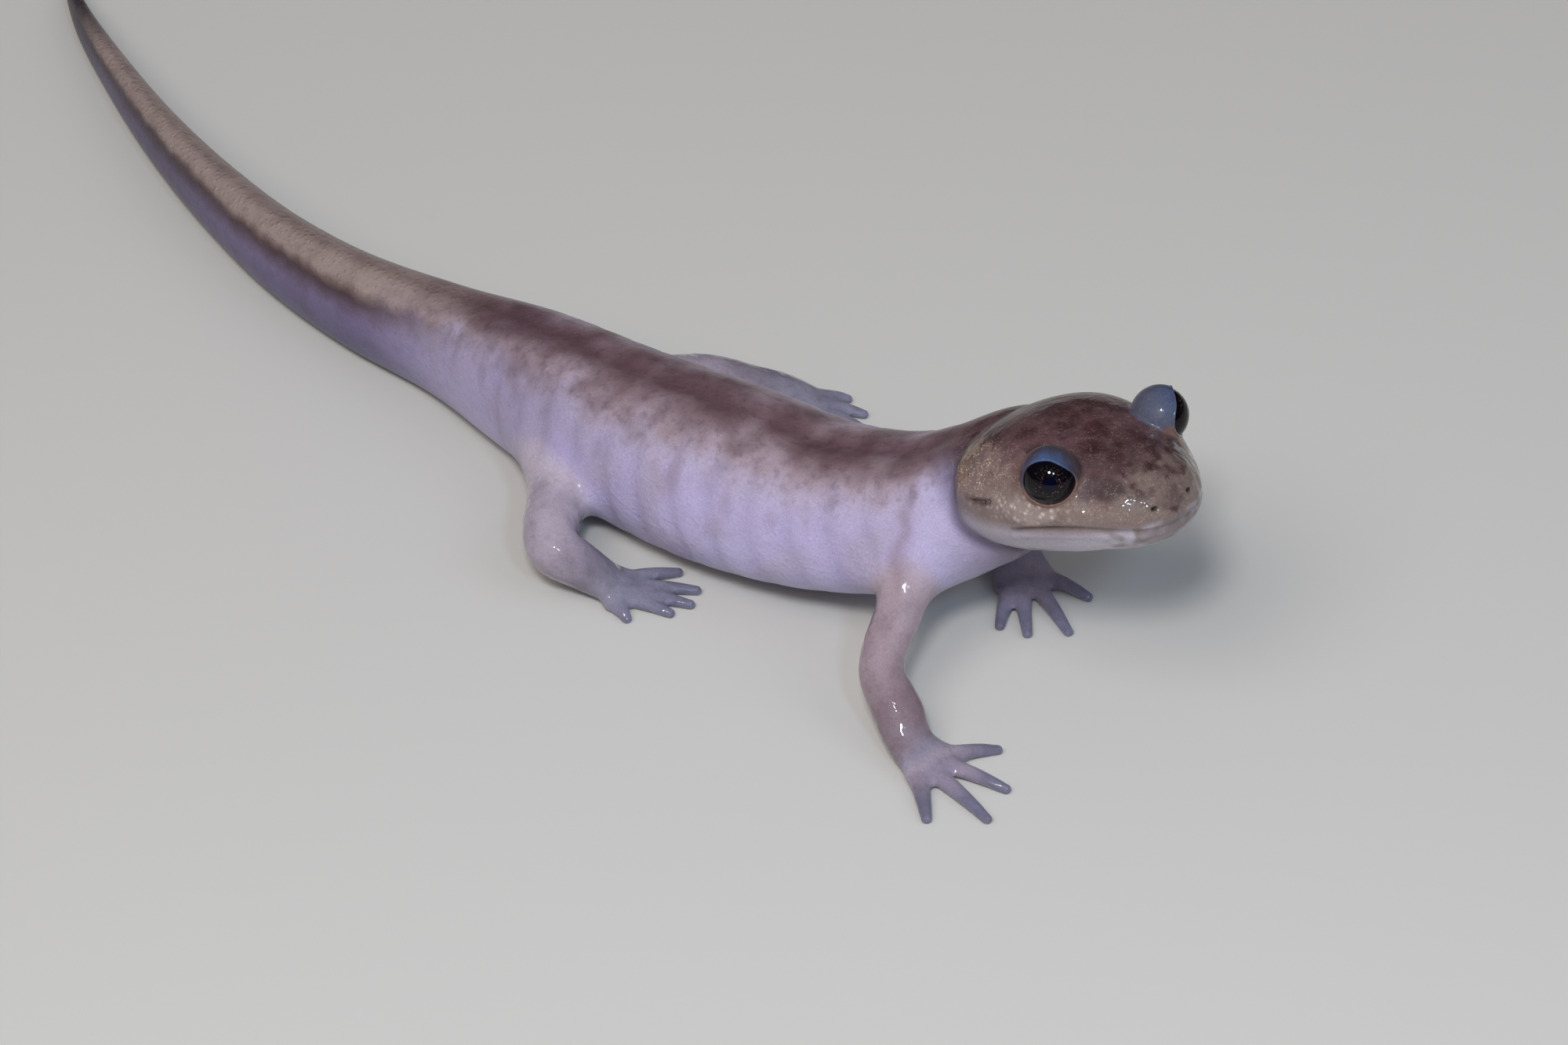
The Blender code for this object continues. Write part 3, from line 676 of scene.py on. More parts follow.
# From its lower to its upper end, x and z in the head's frame
CREASE = ((1.9, 1.02), (3.3, 1.28))
# Where the mesh is made fine
HEAD_FINE_X = -0.8
HEAD_FINE_Z = 6
HANDS_FROM = 0.72
# How far round the eyes, the mouth, the nostrils and the crease it is made finest
EYE_ROOM = 0.45
MOUTH_ROOM = 0.42
MOUTH_CORNER_ROOM = 0.6
NOSTRIL_ROOM = 4
CREASE_ROOM = 0.45
CHEEK_Y = 3


def mouth_height(x):
    """Height of the mouth line: up from its corner, then down to the tip of the snout."""
    t = np.clip((x - MOUTH_CORNER_X) / (HEAD_PROFILE[-1][0] - MOUTH_CORNER_X), 0, 1)
    return MOUTH_RISE * np.sin(math.pi * t) - MOUTH_DROP * t ** 3


def from_crease(place):
    """How far beside the crease behind the jaw a place on the head's side lies."""
    start, end = np.array(CREASE)
    flat = place[:, (0, 2)]
    share = np.clip((flat - start) @ (end - start) / ((end - start) @ (end - start)), 0, 1)
    return np.linalg.norm(flat - start - share[:, None] * (end - start), axis=1)


def reach(place, centre, radii):
    """How far from a centre places lie, measured in its own radii."""
    return np.sqrt((((place - np.array(centre)) / np.array(radii)) ** 2).sum(1))


def on_head_or_hands(points):
    """Where the mesh is made fine."""
    on_head = (in_head(points)[:, 0] > HEAD_FINE_X) & (points[:, 2] > HEAD_FINE_Z)
    return on_head | (down_limbs(points) > HANDS_FROM)


def on_toe_tips(points):
    """Where a toe's rounded tip is near."""
    tips = np.array([toe["centre"][-1] for limb in LIMB_FORMS.values() for toe in limb["toes"]])
    return (np.linalg.norm(points[:, None] - tips, axis=2) < TOE_TIP_REACH).any(1)


def on_face_or_tips(points):
    """Where the mesh is made finest."""
    place = mirrored(in_head(points))
    by_eye = np.linalg.norm(place - np.array(EYE_PLACE), axis=1) < LID_RADIUS + EYE_ROOM
    by_mouth = np.abs(place[:, 2] - mouth_height(place[:, 0])) < MOUTH_ROOM
    by_mouth &= place[:, 0] > MOUTH_CORNER_X - MOUTH_CORNER_ROOM
    by_nostril = reach(place, NOSTRIL_PLACE, NOSTRIL_RADII) < NOSTRIL_ROOM
    by_crease = (from_crease(place) < CREASE_ROOM) & (place[:, 1] > CHEEK_Y)
    return by_eye | by_mouth | by_nostril | by_crease | on_toe_tips(points)


net_points, net_quads = surface_net(*distance_block(), NET_STEP)
skin_mesh = bpy.data.meshes.new("skin")
skin_mesh.from_pydata(net_points.tolist(), [], net_quads.tolist())
settle(skin_mesh, 3)
refine(skin_mesh, on_head_or_hands)
settle(skin_mesh, 2)
refine(skin_mesh, on_face_or_tips)
settle(skin_mesh, 1)

# Fine relief is pressed into the finished mesh: the mouth between its lips, the nostrils with their rims, and
# the crease behind the jaw. All of it is in millimetres.
MOUTH_DEPTH = 0.12
MOUTH_HALF_WIDTH = 0.075
MOUTH_START = (MOUTH_CORNER_X - 0.2, MOUTH_CORNER_X + 0.5)
MOUTH_FRONT = (7.5, 10.0)
MOUTH_FRONT_SHARE = 0.5
MOUTH_LOWEST = 7
JAW_STEP = 0.05
JAW_STEP_WIDTH = 0.2
# Rolls of skin beside a line: how far beside it, half width, height
UPPER_LIP = (0.34, 0.24, 0.05)
LOWER_LIP = (-0.42, 0.20, 0.09)
CREASE_RIM = (0.28, 0.14, 0.05)
CREASE_DEPTH = 0.17
CREASE_HALF_WIDTH = 0.10
CHEEK_START = (3.0, 4.0)
NOSTRIL_DEPTH = 0.22
# The same for the rim of a nostril, but beside it in its own radii
NOSTRIL_RIM = (2.4, 0.9, 0.04)


def roll(beside_line, place, half_width, height):
    """The height of a roll of skin beside a line."""
    return height * bell(beside_line - place, half_width)


def relief(points):
    """Height of the fine forms above the skin's plain surface."""
    place = mirrored(in_head(points))
    over_mouth = place[:, 2] - mouth_height(place[:, 0])
    on_mouth = fade(place[:, 0], *MOUTH_START) * (points[:, 2] > MOUTH_LOWEST)
    front_share = 1 - MOUTH_FRONT_SHARE * fade(place[:, 0], *MOUTH_FRONT)
    on_cheek = fade(place[:, 1], *CHEEK_START)
    by_nostril = reach(place, NOSTRIL_PLACE, NOSTRIL_RADII)
    height = -MOUTH_DEPTH * bell(over_mouth, MOUTH_HALF_WIDTH) * on_mouth * front_share
    height += (roll(over_mouth, *UPPER_LIP) + roll(over_mouth, *LOWER_LIP)) * on_mouth
    height -= JAW_STEP * fade(-over_mouth, 0, JAW_STEP_WIDTH) * on_mouth
    height += roll(from_crease(place), *CREASE_RIM) * on_cheek
    height -= CREASE_DEPTH * bell(from_crease(place), CREASE_HALF_WIDTH) * on_cheek
    height += roll(by_nostril, *NOSTRIL_RIM) - NOSTRIL_DEPTH * bell(by_nostril, 1)
    return height


skin_points = mesh_points(skin_mesh)
skin_slope = unit(slope_at(skin_points, skin_distance(skin_points)))
set_mesh_points(skin_mesh, skin_points + skin_slope * relief(skin_points)[:, None])
skin = bpy.data.objects.new("skin", skin_mesh)
bpy.context.scene.collection.objects.link(skin)

# Each eye's opening is cut out of the dome of its lids, which are thin and close round the ball. The opening
# is wide towards the snout, and the upper lid hangs over the top of the eye in a low arch.
EYE_RADIUS = 1.455
SOCKET_RADIUS = 1.47
OPENING_DEPTH = 1.74
# Round the opening from the tail side over the top (degrees), and how wide it opens there (degrees)
OPENING = ((0, 36), (35, 33), (70, 31), (105, 36), (125, 44), (143, 50), (155, 58), (166, 68), (180, 88),
           (204, 93), (232, 87), (263, 79), (293, 73), (315, 57), (344, 41))
OPENING_POINTS = 96
OPENING_RINGS = 10
RIM_CENTRE_RADIUS = 1.495
RIM_RADIUS = 0.075
RIM_SIDES = 12


def eye_frame(side):
    """The frame of one eye: x looks out of the head, z is up along the lid."""
    place = Vector((EYE_PLACE[0], side * EYE_PLACE[1], EYE_PLACE[2]))
    return (HEAD_FRAME @ Matrix.Translation(place) @ Matrix.Rotation(math.radians(side * EYE_TURN), 4, "Z")
            @ Matrix.Rotation(-math.radians(EYE_TILT), 4, "Y"))


def new_object(name, points, faces):
    """An object from points and faces."""
    data = bpy.data.meshes.new(name)
    data.from_pydata(points, [], faces)
    made = bpy.data.objects.new(name, data)
    bpy.context.scene.collection.objects.link(made)
    return made


def ring_faces(count, rings):
    """Quads between rings of points, ring after ring."""
    return [(ring * count + k, ring * count + (k + 1) % count,
             (ring + 1) * count + (k + 1) % count, (ring + 1) * count + k)
            for ring in range(rings - 1) for k in range(count)]


def opening_outline():
    """The outline of an eye's opening: turns round it, and how wide it opens there, both in degrees."""
    turns = np.arange(OPENING_POINTS) * 360 / OPENING_POINTS
    rows = np.array(OPENING, float)
    wide = np.interp(turns, rows[:, 0], rows[:, 1], period=360)
    return turns, sum(np.roll(wide, k) for k in range(-3, 4)) / 7


def outline_points(side, share, radius):
    """Points at a share of the opening's width round it, in the eye's frame."""
    turns, wide = opening_outline()
    polar, around = np.radians(wide * share), np.radians(turns)
    across = side * np.sin(polar) * np.cos(around)
    return np.stack((np.cos(polar), across, np.sin(polar) * np.sin(around)), 1) * radius


def opening_cutter(side):
    """A cone out of the eye's middle, with the opening's outline and a domed end."""
    points = []
    for ring in range(1, OPENING_RINGS + 1):
        points += outline_points(side, ring / OPENING_RINGS, OPENING_DEPTH).tolist()
    faces = ring_faces(OPENING_POINTS, OPENING_RINGS)
    pole, middle = len(points), len(points) + 1
    points += [(OPENING_DEPTH, 0, 0), (0, 0, 0)]
    last = (OPENING_RINGS - 1) * OPENING_POINTS
    for k in range(OPENING_POINTS):
        following = (k + 1) % OPENING_POINTS
        faces.append((pole, following, k))
        faces.append((middle, last + k, last + following))
    if side > 0:
        faces = [face[::-1] for face in faces]
    made = new_object("opening", points, faces)
    made.data.transform(eye_frame(side))
    return made


def ball(name, radius, matrix, segments=96):
    """A fine sphere."""
    worked = bmesh.new()
    bmesh.ops.create_uvsphere(worked, u_segments=segments, v_segments=segments * 2 // 3, radius=radius,
                              matrix=matrix)
    made = new_object(name, [], [])
    worked.to_mesh(made.data)
    worked.free()
    return made


def lid_rim(side):
    """The rounded edge of the lids, a thin roll round the opening."""
    centre = outline_points(side, 1.0, RIM_CENTRE_RADIUS)
    along = unit(np.roll(centre, -1, axis=0) - np.roll(centre, 1, axis=0))
    out = unit(centre)
    across = np.cross(along, out)
    turns = np.radians(np.arange(RIM_SIDES) * 360 / RIM_SIDES)
    points = centre[:, None] + RIM_RADIUS * (np.cos(turns)[None, :, None] * out[:, None]
                                             + np.sin(turns)[None, :, None] * across[:, None])
    faces = []
    for k in range(OPENING_POINTS):
        for j in range(RIM_SIDES):
            here, there = k * RIM_SIDES, (k + 1) % OPENING_POINTS * RIM_SIDES
            following = (j + 1) % RIM_SIDES
            faces.append((here + j, here + following, there + following, there + j))
    if side < 0:
        faces = [face[::-1] for face in faces]
    made = bpy.data.meshes.new("lid rim")
    made.from_pydata(points.reshape(-1, 3), [], faces)
    made.transform(eye_frame(side))
    return made


cutters = []
for side in (1, -1):
    cutters += [ball("socket", SOCKET_RADIUS, eye_frame(side)), opening_cutter(side)]
for cutter in cutters:
    change = skin.modifiers.new("cut", "BOOLEAN")
    change.operation = "DIFFERENCE"
    change.solver = "MANIFOLD"
    change.object = cutter
bpy.context.view_layer.update()
cut_skin = bpy.data.meshes.new_from_object(skin.evaluated_get(bpy.context.evaluated_depsgraph_get()))
skin.modifiers.clear()
joined = bmesh.new()
joined.from_mesh(cut_skin)
for side in (1, -1):
    joined.from_mesh(lid_rim(side))
joined.to_mesh(cut_skin)
joined.free()
skin.data = cut_skin
for cutter in cutters:
    bpy.data.objects.remove(cutter, do_unlink=True)

# The skin's colours are mostly pigment in it, so their edges are soft; some tints are painted shade in its
# folds, grooves and hollows, in the mouth and nostrils and under the jaw. They lie on the mesh's points: a
# ramp round the body from belly to back, others for the tail, the limbs and the head, and tints over them.
# Ramps round a section are by lean, 0 degrees on the side and 90 on the back, ramps down a limb from 0 to 1,
# and ramps over the lids by degrees from the way the eye looks
RAMPS = {
    "trunk": ((-90, "#b0abc8"), (0, "#aba2c4"), (15, "#a69cbe"), (30, "#a298b4"), (42, "#9f94aa"),
              (57, "#93828c"), (68, "#7b6970"), (78, "#6b565c"), (90, "#594449")),
    "tail": ((-90, "#4e4a60"), (-20, "#5f5876"), (16, "#685e7c"), (28, "#5a4d5e"), (40, "#443438"),
             (46, "#6a5a58"), (52, "#8b7c78"), (74, "#8b7c78"), (90, "#776864")),
    "arm": ((0.0, "#a99aa6"), (0.25, "#94838c"), (0.50, "#75646c"), (0.62, "#75666f"), (0.78, "#827c8c"),
            (0.9, "#938896"), (1.0, "#857c8d")),
    "leg": ((0.0, "#afa4b2"), (0.22, "#a398a6"), (0.36, "#8a808d"), (0.55, "#726b79"), (0.75, "#7b7786"),
            (0.9, "#807d8e"), (1.0, "#79778a")),
    "head": ((-90, "#857b86"), (-25, "#a39da8"), (-4, "#938d96"), (6, "#70625f"), (24, "#746560"),
             (42, "#634e4e"), (54, "#563f43"), (90, "#4d363a")),
    "left lid": ((40, "#333f60"), (58, "#424c66"), (95, "#4c4f60")),
    "right lid": ((38, "#3f5276"), (54, "#36435e"), (74, "#393645"), (95, "#43373a")),
}
# Colour and strength, then bells as a measure with its half width, and bands as a measure with where it is 0
# and where it is full, and how much the middle cloud waves it
TINTS = {
    "top of the hips": ("#4c3740", 0.55, (("from pelvis", 4.2),), (("lean", 56, 78, 6),)),
    # Painted shade: the next tint darkens the folds between the ribs.
    "costal grooves": ("#6f6684", 0.18, (("from groove", 0.55),), (("lean", 50, 25),)),
    "streaks": ("#756672", 0.34, (), (("streak cloud", 0.05, 0.7), ("lean", 8, 30), ("lean", 74, 56))),
    "sides of the hips": ("#5f5468", 0.30, (("from hips", 6.5),), (("lean", -30, 0), ("lean", 62, 48))),
    "pale patches": ("#9c919f", 0.45, (), (("broad cloud", 0.0, 0.9), ("lean", 50, 20))),
    "shade of the tail": ("#2f2c34", 0.38, (), (("along tail", 0, 1), ("lean", 52, 38))),
    "neck": ("#ada4c2", 0.85, (), (("along neck", 0, 1), ("lean", 66, 44, 8))),
    "toes": ("#6a697d", 1, (), (("past knuckles", 1.4, 3.2),)),
    "head blotches": ("#2c181c", 0.62, (), (("blotch cloud", 0.05, 0.70), ("head lean", 26, 50))),
    "edge of the lids": ("#6d554e", 1, (), (("over eye", 0.1, -0.6),)),
    # Painted shade: the next three tints darken the slit between the lips, the crease behind the jaw and the
    # nostril holes.
    "mouth": ("#3a2c2e", 0.70, (("over mouth", MOUTH_HALF_WIDTH * 1.3),), (("head x", *MOUTH_START),)),
    "crease": ("#3a2c2e", 0.8, (("from crease", 0.13),), (("head y", *CHEEK_START),)),
    "nostrils": ("#1e1618", 0.95, (), (("from nostril", 1.5, 0.9),)),
    # Painted shade: the next two tints darken the fold where the head meets the neck and the skin just behind
    # it.
    "shade in the fold of the neck": ("#45405a", 0.60, (("from head's edge", 0.70),), (("head lean", 60, 20),)),
    "shade behind the neck's fold": ("#5f5670", 0.50, (), (("out of head", 1.1, 0.2), ("head lean", 50, 25))),
    # Painted shade: the next tint darkens the fold that runs up from behind the arm.
    "shoulder fold": ("#74616a", 0.50, (("from shoulder fold", 0.42),),
                      (("lean", 68, 48), ("lean", -30, -5))),
}
# Patches on the head: place, radii, colour, strength, and the one side that has it, 1 for the left
HEAD_PATCHES = (
    ((10.6, 0.0, 1.2), (2.6, 3.6, 1.7), "#6d5f5a", 0.90),
    ((8.6, 0.0, 3.0), (1.7, 2.2, 0.9), "#473536", 0.75),
    ((1.7, 4.3, 2.2), (2.4, 1.7, 1.4), "#776462", 0.90),
    ((0.5, 4.0, 2.4), (0.9, 1.6, 1.5), "#7c6653", 0.60),
    ((-0.7, 4.0, 1.0), (0.9, 3.0, 3.4), "#57464b", 0.85),
    ((5.6, 4.9, 1.1), (2.1, 1.0, 0.62), "#8d7f7b", 0.80),
    ((2.2, 4.9, 1.15), (1.2, 0.8, 0.22), "#4c3a3c", 0.65),
    ((9.44, 2.46, 1.84), (0.75, 0.8, 0.45), "#42373a", 0.85),
    # Painted shade: the next patch darkens the hollow before the eye.
    ((8.6, 2.9, 2.1), (1.0, 0.8, 0.6), "#4a3f41", 0.75),
    ((7.9, 2.6, 3.1), (0.9, 0.7, 0.6), "#4b3c3d", 0.60),
    # Painted shade: the next patch darkens the throat under the jaw.
    ((1.5, 0.0, -2.6), (3.6, 4.2, 1.5), "#5a474d", 0.90),
    ((10.6, 0.0, -0.9), (2.0, 3.0, 1.0), "#6a5e5d", 0.85),
    ((9.87, 0.03, 2.23), (0.32, 0.32, 0.5), "#2c1f20", 0.92),
    ((3.56, 2.36, 3.88), (0.62, 0.5, 0.6), "#331b1f", 0.62, -1),
    ((6.41, 0.14, 3.69), (0.8, 0.5, 0.6), "#331a1e", 0.62),
    ((8.04, 1.14, 3.00), (0.6, 0.4, 0.5), "#331b1f", 0.66, 1),
    ((8.39, 0.83, 2.87), (0.45, 0.4, 0.5), "#331b1f", 0.66, -1),
    ((7.32, 1.29, 3.29), (0.7, 0.45, 0.5), "#341b1f", 0.60, -1),
    ((3.56, 0.09, 4.19), (0.9, 0.6, 0.7), "#331a1e", 0.60),
    ((3.80, 1.46, 4.07), (0.6, 0.5, 0.6), "#331a1e", 0.60, 1),
)
PATCH_EDGE = (1.25, 0.55)
MOUTH_FADE = 0.43
MOUTH_FADE_X = (6.5, 9.5)
LID_REAR_TONE = "#403238"
LID_REAR_SHARES = {1: 0.25, -1: 0.9}
# Painted shade under the jaw, over the throat and the front of the neck: its tone, share and place
JAW_SHADOW_TONE = "#49383e"
JAW_SHADOW_SHARE = 0.9
JAW_SHADOW_PLACE = ((2.0, 0.0, -3.5), (3.0, 5.2, 1.6))
GLAND = ((1.4, 4.2, 2.3), (2.4, 1.8, 1.5))
GRANULES = ((5.7, 4.9, 1.1), (2.3, 1.3, 0.6))
# The least height of the head and of the skin behind it
HEAD_LOWEST = 5
BEHIND_HEAD_LOWEST = 6
# How strongly each place is mottled, flecked with gold, shone through, rough and wet
MOTTLE = {"body": 0.10, "back": 0.52, "tail": 0.20, "limbs": 0.38, "head": 0.05, "cheeks": 0.20,
          "crown": 0.60}
FLECKS = {"gland": 1.2, "head": 0.22, "crown": -0.06, "lids": 0.08}
THIN = {"hands": 0.9, "lids": 0.4}
ROUGH = {"body": 0.35, "gland and ridge": 0.65}
WET = {"body": 0.10, "limbs": 0.90, "head": 0.22, "snout": 0.60}


def ramp(value, name):
    """Linear colours read along a ramp."""
    stops = RAMPS[name]
    colours = np.array([srgb(colour)[:3] for _, colour in stops])
    return np.stack([np.interp(value, [at for at, _ in stops], colours[:, k]) for k in range(3)], 1)


def tint(tones, share, colour):
    """Tones moved towards a colour or other tones by a share at each point."""
    target = np.array(srgb(colour)[:3]) if isinstance(colour, str) else colour
    return tones + (target - tones) * np.clip(share, 0, 1)[:, None]


def cloud(points, size, seed):
    """Soft random values from -1 to 1, alike over about the given size."""
    return np.array([noise.noise(point) for point in ((points + seed * 37.1) / size).tolist()]) * 1.6


points = mesh_points(skin.data)
head_place = in_head(points)
place = mirrored(head_place)
side = np.sign(head_place[:, 1])
row, _, across, above = beside(TRUNK, points)
sizes = read_rows(TRUNK["sizes"], row)
along = read_rows(TRUNK["lengths"], row)
lean = lean_of(across / sizes[:, 0], above / sizes[:, 1])
on_tail = 1 - fade(along, STATION["tail root"], STATION["pelvis"])
trunk_gap, head_gap = trunk_distance(points), head_distance(points)
high_enough = points[:, 2] > HEAD_LOWEST
of_head = fade(trunk_gap - head_gap, -0.35, 0.35) * high_enough
off_head = 1 - of_head
_, half_width, top, bottom = head_section(place)
head_lean = lean_of(place[:, 1] / half_width, place[:, 2] / np.where(place[:, 2] > 0, top, bottom))
over_mouth = place[:, 2] - mouth_height(place[:, 0])
broad, middle, fine = (cloud(points, size, seed) for size, seed in ((2.6, 1), (1.1, 2), (0.5, 3)))
streak_places = np.stack((along / 0.8, lean / 26, np.sign(across) * 5), 1)
bend_to_middle = STATION["tail middle"] - STATION["tail bend"]
shoulder_to_neck = STATION["neck"] - STATION["shoulder"] + 1
measures = {
    "lean": lean, "head lean": head_lean, "head x": place[:, 0], "head y": place[:, 1],
    "from pelvis": along - STATION["pelvis"], "from hips": along - STATION["pelvis"] - 2,
    "from groove": groove_offset(along, above), "streak cloud": cloud(streak_places, 1.0, 4),
    "broad cloud": broad, "blotch cloud": middle + 0.7 * fine, "over mouth": over_mouth,
    "along tail": (along - STATION["tail bend"]) / bend_to_middle,
    "along neck": (along - STATION["shoulder"] + 1) / shoulder_to_neck,
    "over eye": place[:, 2] - EYE_PLACE[2], "from crease": from_crease(place),
    "from nostril": reach(place, NOSTRIL_PLACE, NOSTRIL_RADII), "from head's edge": trunk_gap - head_gap,
    "out of head": head_gap, "from shoulder fold": from_shoulder_fold(along, lean) + 0.22 * middle,
}


def lay(tones, name, share=1.0):
    """Lays one of the tints over tones."""
    colour, strength, bells, bands = TINTS[name]
    for measure, half_width in bells:
        share = share * bell(measures[measure], half_width)
    for measure, start, full, *wave in bands:
        share = share * fade(measures[measure] + sum(wave) * middle, start, full)
    return tint(tones, strength * share, colour)


tones = lay(ramp(lean + 9 * broad + 7 * middle, "trunk"), "top of the hips")
# The tint in the grooves between the ribs is painted shade in those folds.
for name in ("costal grooves", "streaks", "sides of the hips", "pale patches"):
    tones = lay(tones, name, 1 - on_tail)
tail_tones = lay(ramp(lean + 4 * middle, "tail"), "shade of the tail")
tail_end = fade(along, STATION["tail rear"], STATION["tail tip"] + 3)
tail_tones = tint(tail_tones, tail_end, TINTS["shade of the tail"][0])
tones = lay(tint(tones, on_tail, tail_tones), "neck")
down = np.zeros(len(points))
for name, limb in LIMB_FORMS.items():
    gap, share = limb_distance(limb, points)
    of_limb = fade(trunk_gap - gap, -0.9, 0.9) * fade(gap, 0.8, 0.4)
    measures["past knuckles"] = np.linalg.norm(points - limb["tube"]["centre"][-1], axis=1)
    limb_tones = lay(ramp(share + 0.04 * middle, name[:3]), "toes", share > 0.9)
    tones = tint(tones, of_limb, limb_tones)
    down = np.maximum(down, of_limb * share)

head_tones = ramp(head_lean + 5 * middle * fade(head_lean, 0, 20), "head")
for centre, radii, colour, strength, *only in HEAD_PATCHES:
    edge = reach(place, centre, radii) + 0.36 * fine + 0.16 * middle
    head_tones = tint(head_tones, strength * fade(edge, *PATCH_EDGE) * np.isin(side, only or (1, -1)), colour)
head_tones = lay(head_tones, "head blotches")
from_eye = place - np.array(EYE_PLACE)
on_lid = fade(np.linalg.norm(from_eye, axis=1), LID_RADIUS + 0.22, LID_RADIUS + 0.02)
eye_axis = HEAD_AXES.T @ np.array(eye_frame(1).to_3x3())[:, 0]
off_axis = np.degrees(np.arccos(np.clip(unit(from_eye) @ eye_axis, -1, 1)))
upper_lid = on_lid * fade(from_eye[:, 2], -0.5, 0.2)
for one_side, name in ((1, "left lid"), (-1, "right lid")):
    rear_share = LID_REAR_SHARES[one_side] * fade(from_eye[:, 0], 0.6, -0.5)
    lid_tones = tint(ramp(off_axis + 8 * fine, name), rear_share, LID_REAR_TONE)
    head_tones = tint(head_tones, upper_lid * (side == one_side), lid_tones)
head_tones = lay(head_tones, "edge of the lids", on_lid)
# Painted shade in the slit of the mouth, the crease behind the jaw and the nostril holes.
head_tones = lay(head_tones, "mouth", 1 - MOUTH_FADE * fade(place[:, 0], *MOUTH_FADE_X))
head_tones = lay(lay(head_tones, "crease"), "nostrils")
# The two tints where the head meets the neck are painted shade in that fold and behind it.
tones = lay(tint(tones, of_head, head_tones), "shade in the fold of the neck", high_enough)
tones = lay(tones, "shade behind the neck's fold", off_head * (points[:, 2] > BEHIND_HEAD_LOWEST))
# The tint at the fold behind the arm is painted shade in that crease.
tones = lay(tones, "shoulder fold", off_head * high_enough)
# Painted shade under the jaw, over the throat.
tones = tint(tones, JAW_SHADOW_SHARE * swelling(place, *JAW_SHADOW_PLACE), JAW_SHADOW_TONE)

on_gland = swelling(place, *GLAND)
on_limb = fade(down, 0.05, 0.3)
mottle = MOTTLE["body"] + MOTTLE["back"] * fade(lean, 24, 58) * (1 - on_tail) + MOTTLE["tail"] * on_tail
head_mottle = MOTTLE["head"] + MOTTLE["cheeks"] * fade(head_lean, 0, 12)
head_mottle += MOTTLE["crown"] * fade(head_lean, 30, 60)
head_flecks = fade(head_lean, 0, 15) * (FLECKS["head"] + FLECKS["crown"] * fade(head_lean, 40, 70))
head_flecks = np.maximum(FLECKS["gland"] * on_gland, head_flecks)
masks = {
    "mottle": (mottle * off_head * (1 - on_limb) + MOTTLE["limbs"] * on_limb
               + of_head * head_mottle * (1 - on_lid)),
    "flecks": of_head * (head_flecks * (1 - on_lid) + FLECKS["lids"] * on_lid),
    "granules": swelling(place, *GRANULES) * fade(over_mouth, 0.1, 0.35) * of_head,
    "thin": THIN["hands"] * fade(down, 0.6, 0.95) + THIN["lids"] * on_lid * of_head,
    "relief": ROUGH["body"] + ROUGH["gland and ridge"] * np.maximum(
        on_gland * of_head, on_tail * fade(lean, *TAIL_RIDGE_LEAN)),
    "wet": (WET["body"] + WET["limbs"] * on_limb * off_head
            + of_head * (WET["head"] + WET["snout"] * fade(place[:, 0], 7.0, 9.0))),
}


def add_attribute(mesh, name, values):
    """Stores one value or colour for each point of a mesh."""
    if values.ndim == 2:
        made = mesh.attributes.new(name, "FLOAT_COLOR", "POINT")
        made.data.foreach_set("color", np.hstack((values, np.ones((len(values), 1)))).ravel())
    else:
        made = mesh.attributes.new(name, "FLOAT", "POINT")
        made.data.foreach_set("value", values)


add_attribute(skin.data, "tone", tones)
for name, values in masks.items():
    add_attribute(skin.data, name, np.clip(values, 0, 1))
skin.data.transform(Matrix.Scale(MM, 4) @ Matrix.Translation(Vector(ORIGIN_IN_FRAME)))
skin.data.shade_smooth()
skin.data.set_sharp_from_angle(angle=math.radians(50))

# The skin lets some light through, more in the thin hands and feet. Its finer pigment lies in blotches,
# specks and gold flecks, and its granules stand up. The film of water over it gives the bright sparkles.
# Kind of texture, its output, the size of its grains (millimetres), where it starts and is full, and its mask
PATTERNS = {
    "blotches": ("TexNoise", "Fac", 1.7, 0.46, 0.70, "mottle"),
    "specks": ("TexNoise", "Fac", 0.45, 0.48, 0.72, "mottle"),
    "groups of flecks": ("TexNoise", "Fac", 0.42, 0.34, 0.62, "flecks"),
    "small flecks": ("TexVoronoi", "Distance", 0.11, 0.42, 0.10, "groups of flecks"),
    "large flecks": ("TexVoronoi", "Distance", 0.19, 0.34, 0.10, "groups of flecks"),
    "pale granules": ("TexVoronoi", "Distance", 0.33, 0.55, 0.05, "granules"),
    "warts": ("TexVoronoi", "Distance", 0.34, 0.55, 0.0, "relief"),
}
PIGMENTS = {"blotches": (0.52, "#3a272b"), "specks": (0.40, "#35262a"), "all flecks": (0.78, "#dcc6a8"),
            "pale granules": (0.85, "#c9bdb8")}
# The size of the grains of plain noise in millimetres, and its detail
NOISES = {"grain": (0.09, 2.0), "soft bumps": (0.9, 2.0), "pores": (0.16, 2.0), "film": (0.9, 1.0)}
# What the masks give: the mask, where it is full, and the value at none and at full
GIVEN_BY_MASKS = {
    "Subsurface Weight": ("thin", 1.0, 0.18, 0.75),
    "Coat Weight": ("wet", 0.8, 0.22, 1.0),
    "Coat Roughness": ("wet", 1.0, 0.13, 0.03),
    "depth of the film": ("wet", 1.0, 0.03 * MM, 0.22 * MM),
}
GRAIN_SPREAD = (0.3, 0.7)
GRAIN_BRIGHTNESS = (0.92, 1.08)
# Bumps of the skin and of the film over it: what gives the height, and how deep they are in millimetres
BUMPS = {"Normal": (("soft bumps", 0.05), ("warts", 0.045), ("pale granules", 0.05), ("pores", 0.014)),
         "Coat Normal": (("film", None), ("warts and granules", 0.018))}

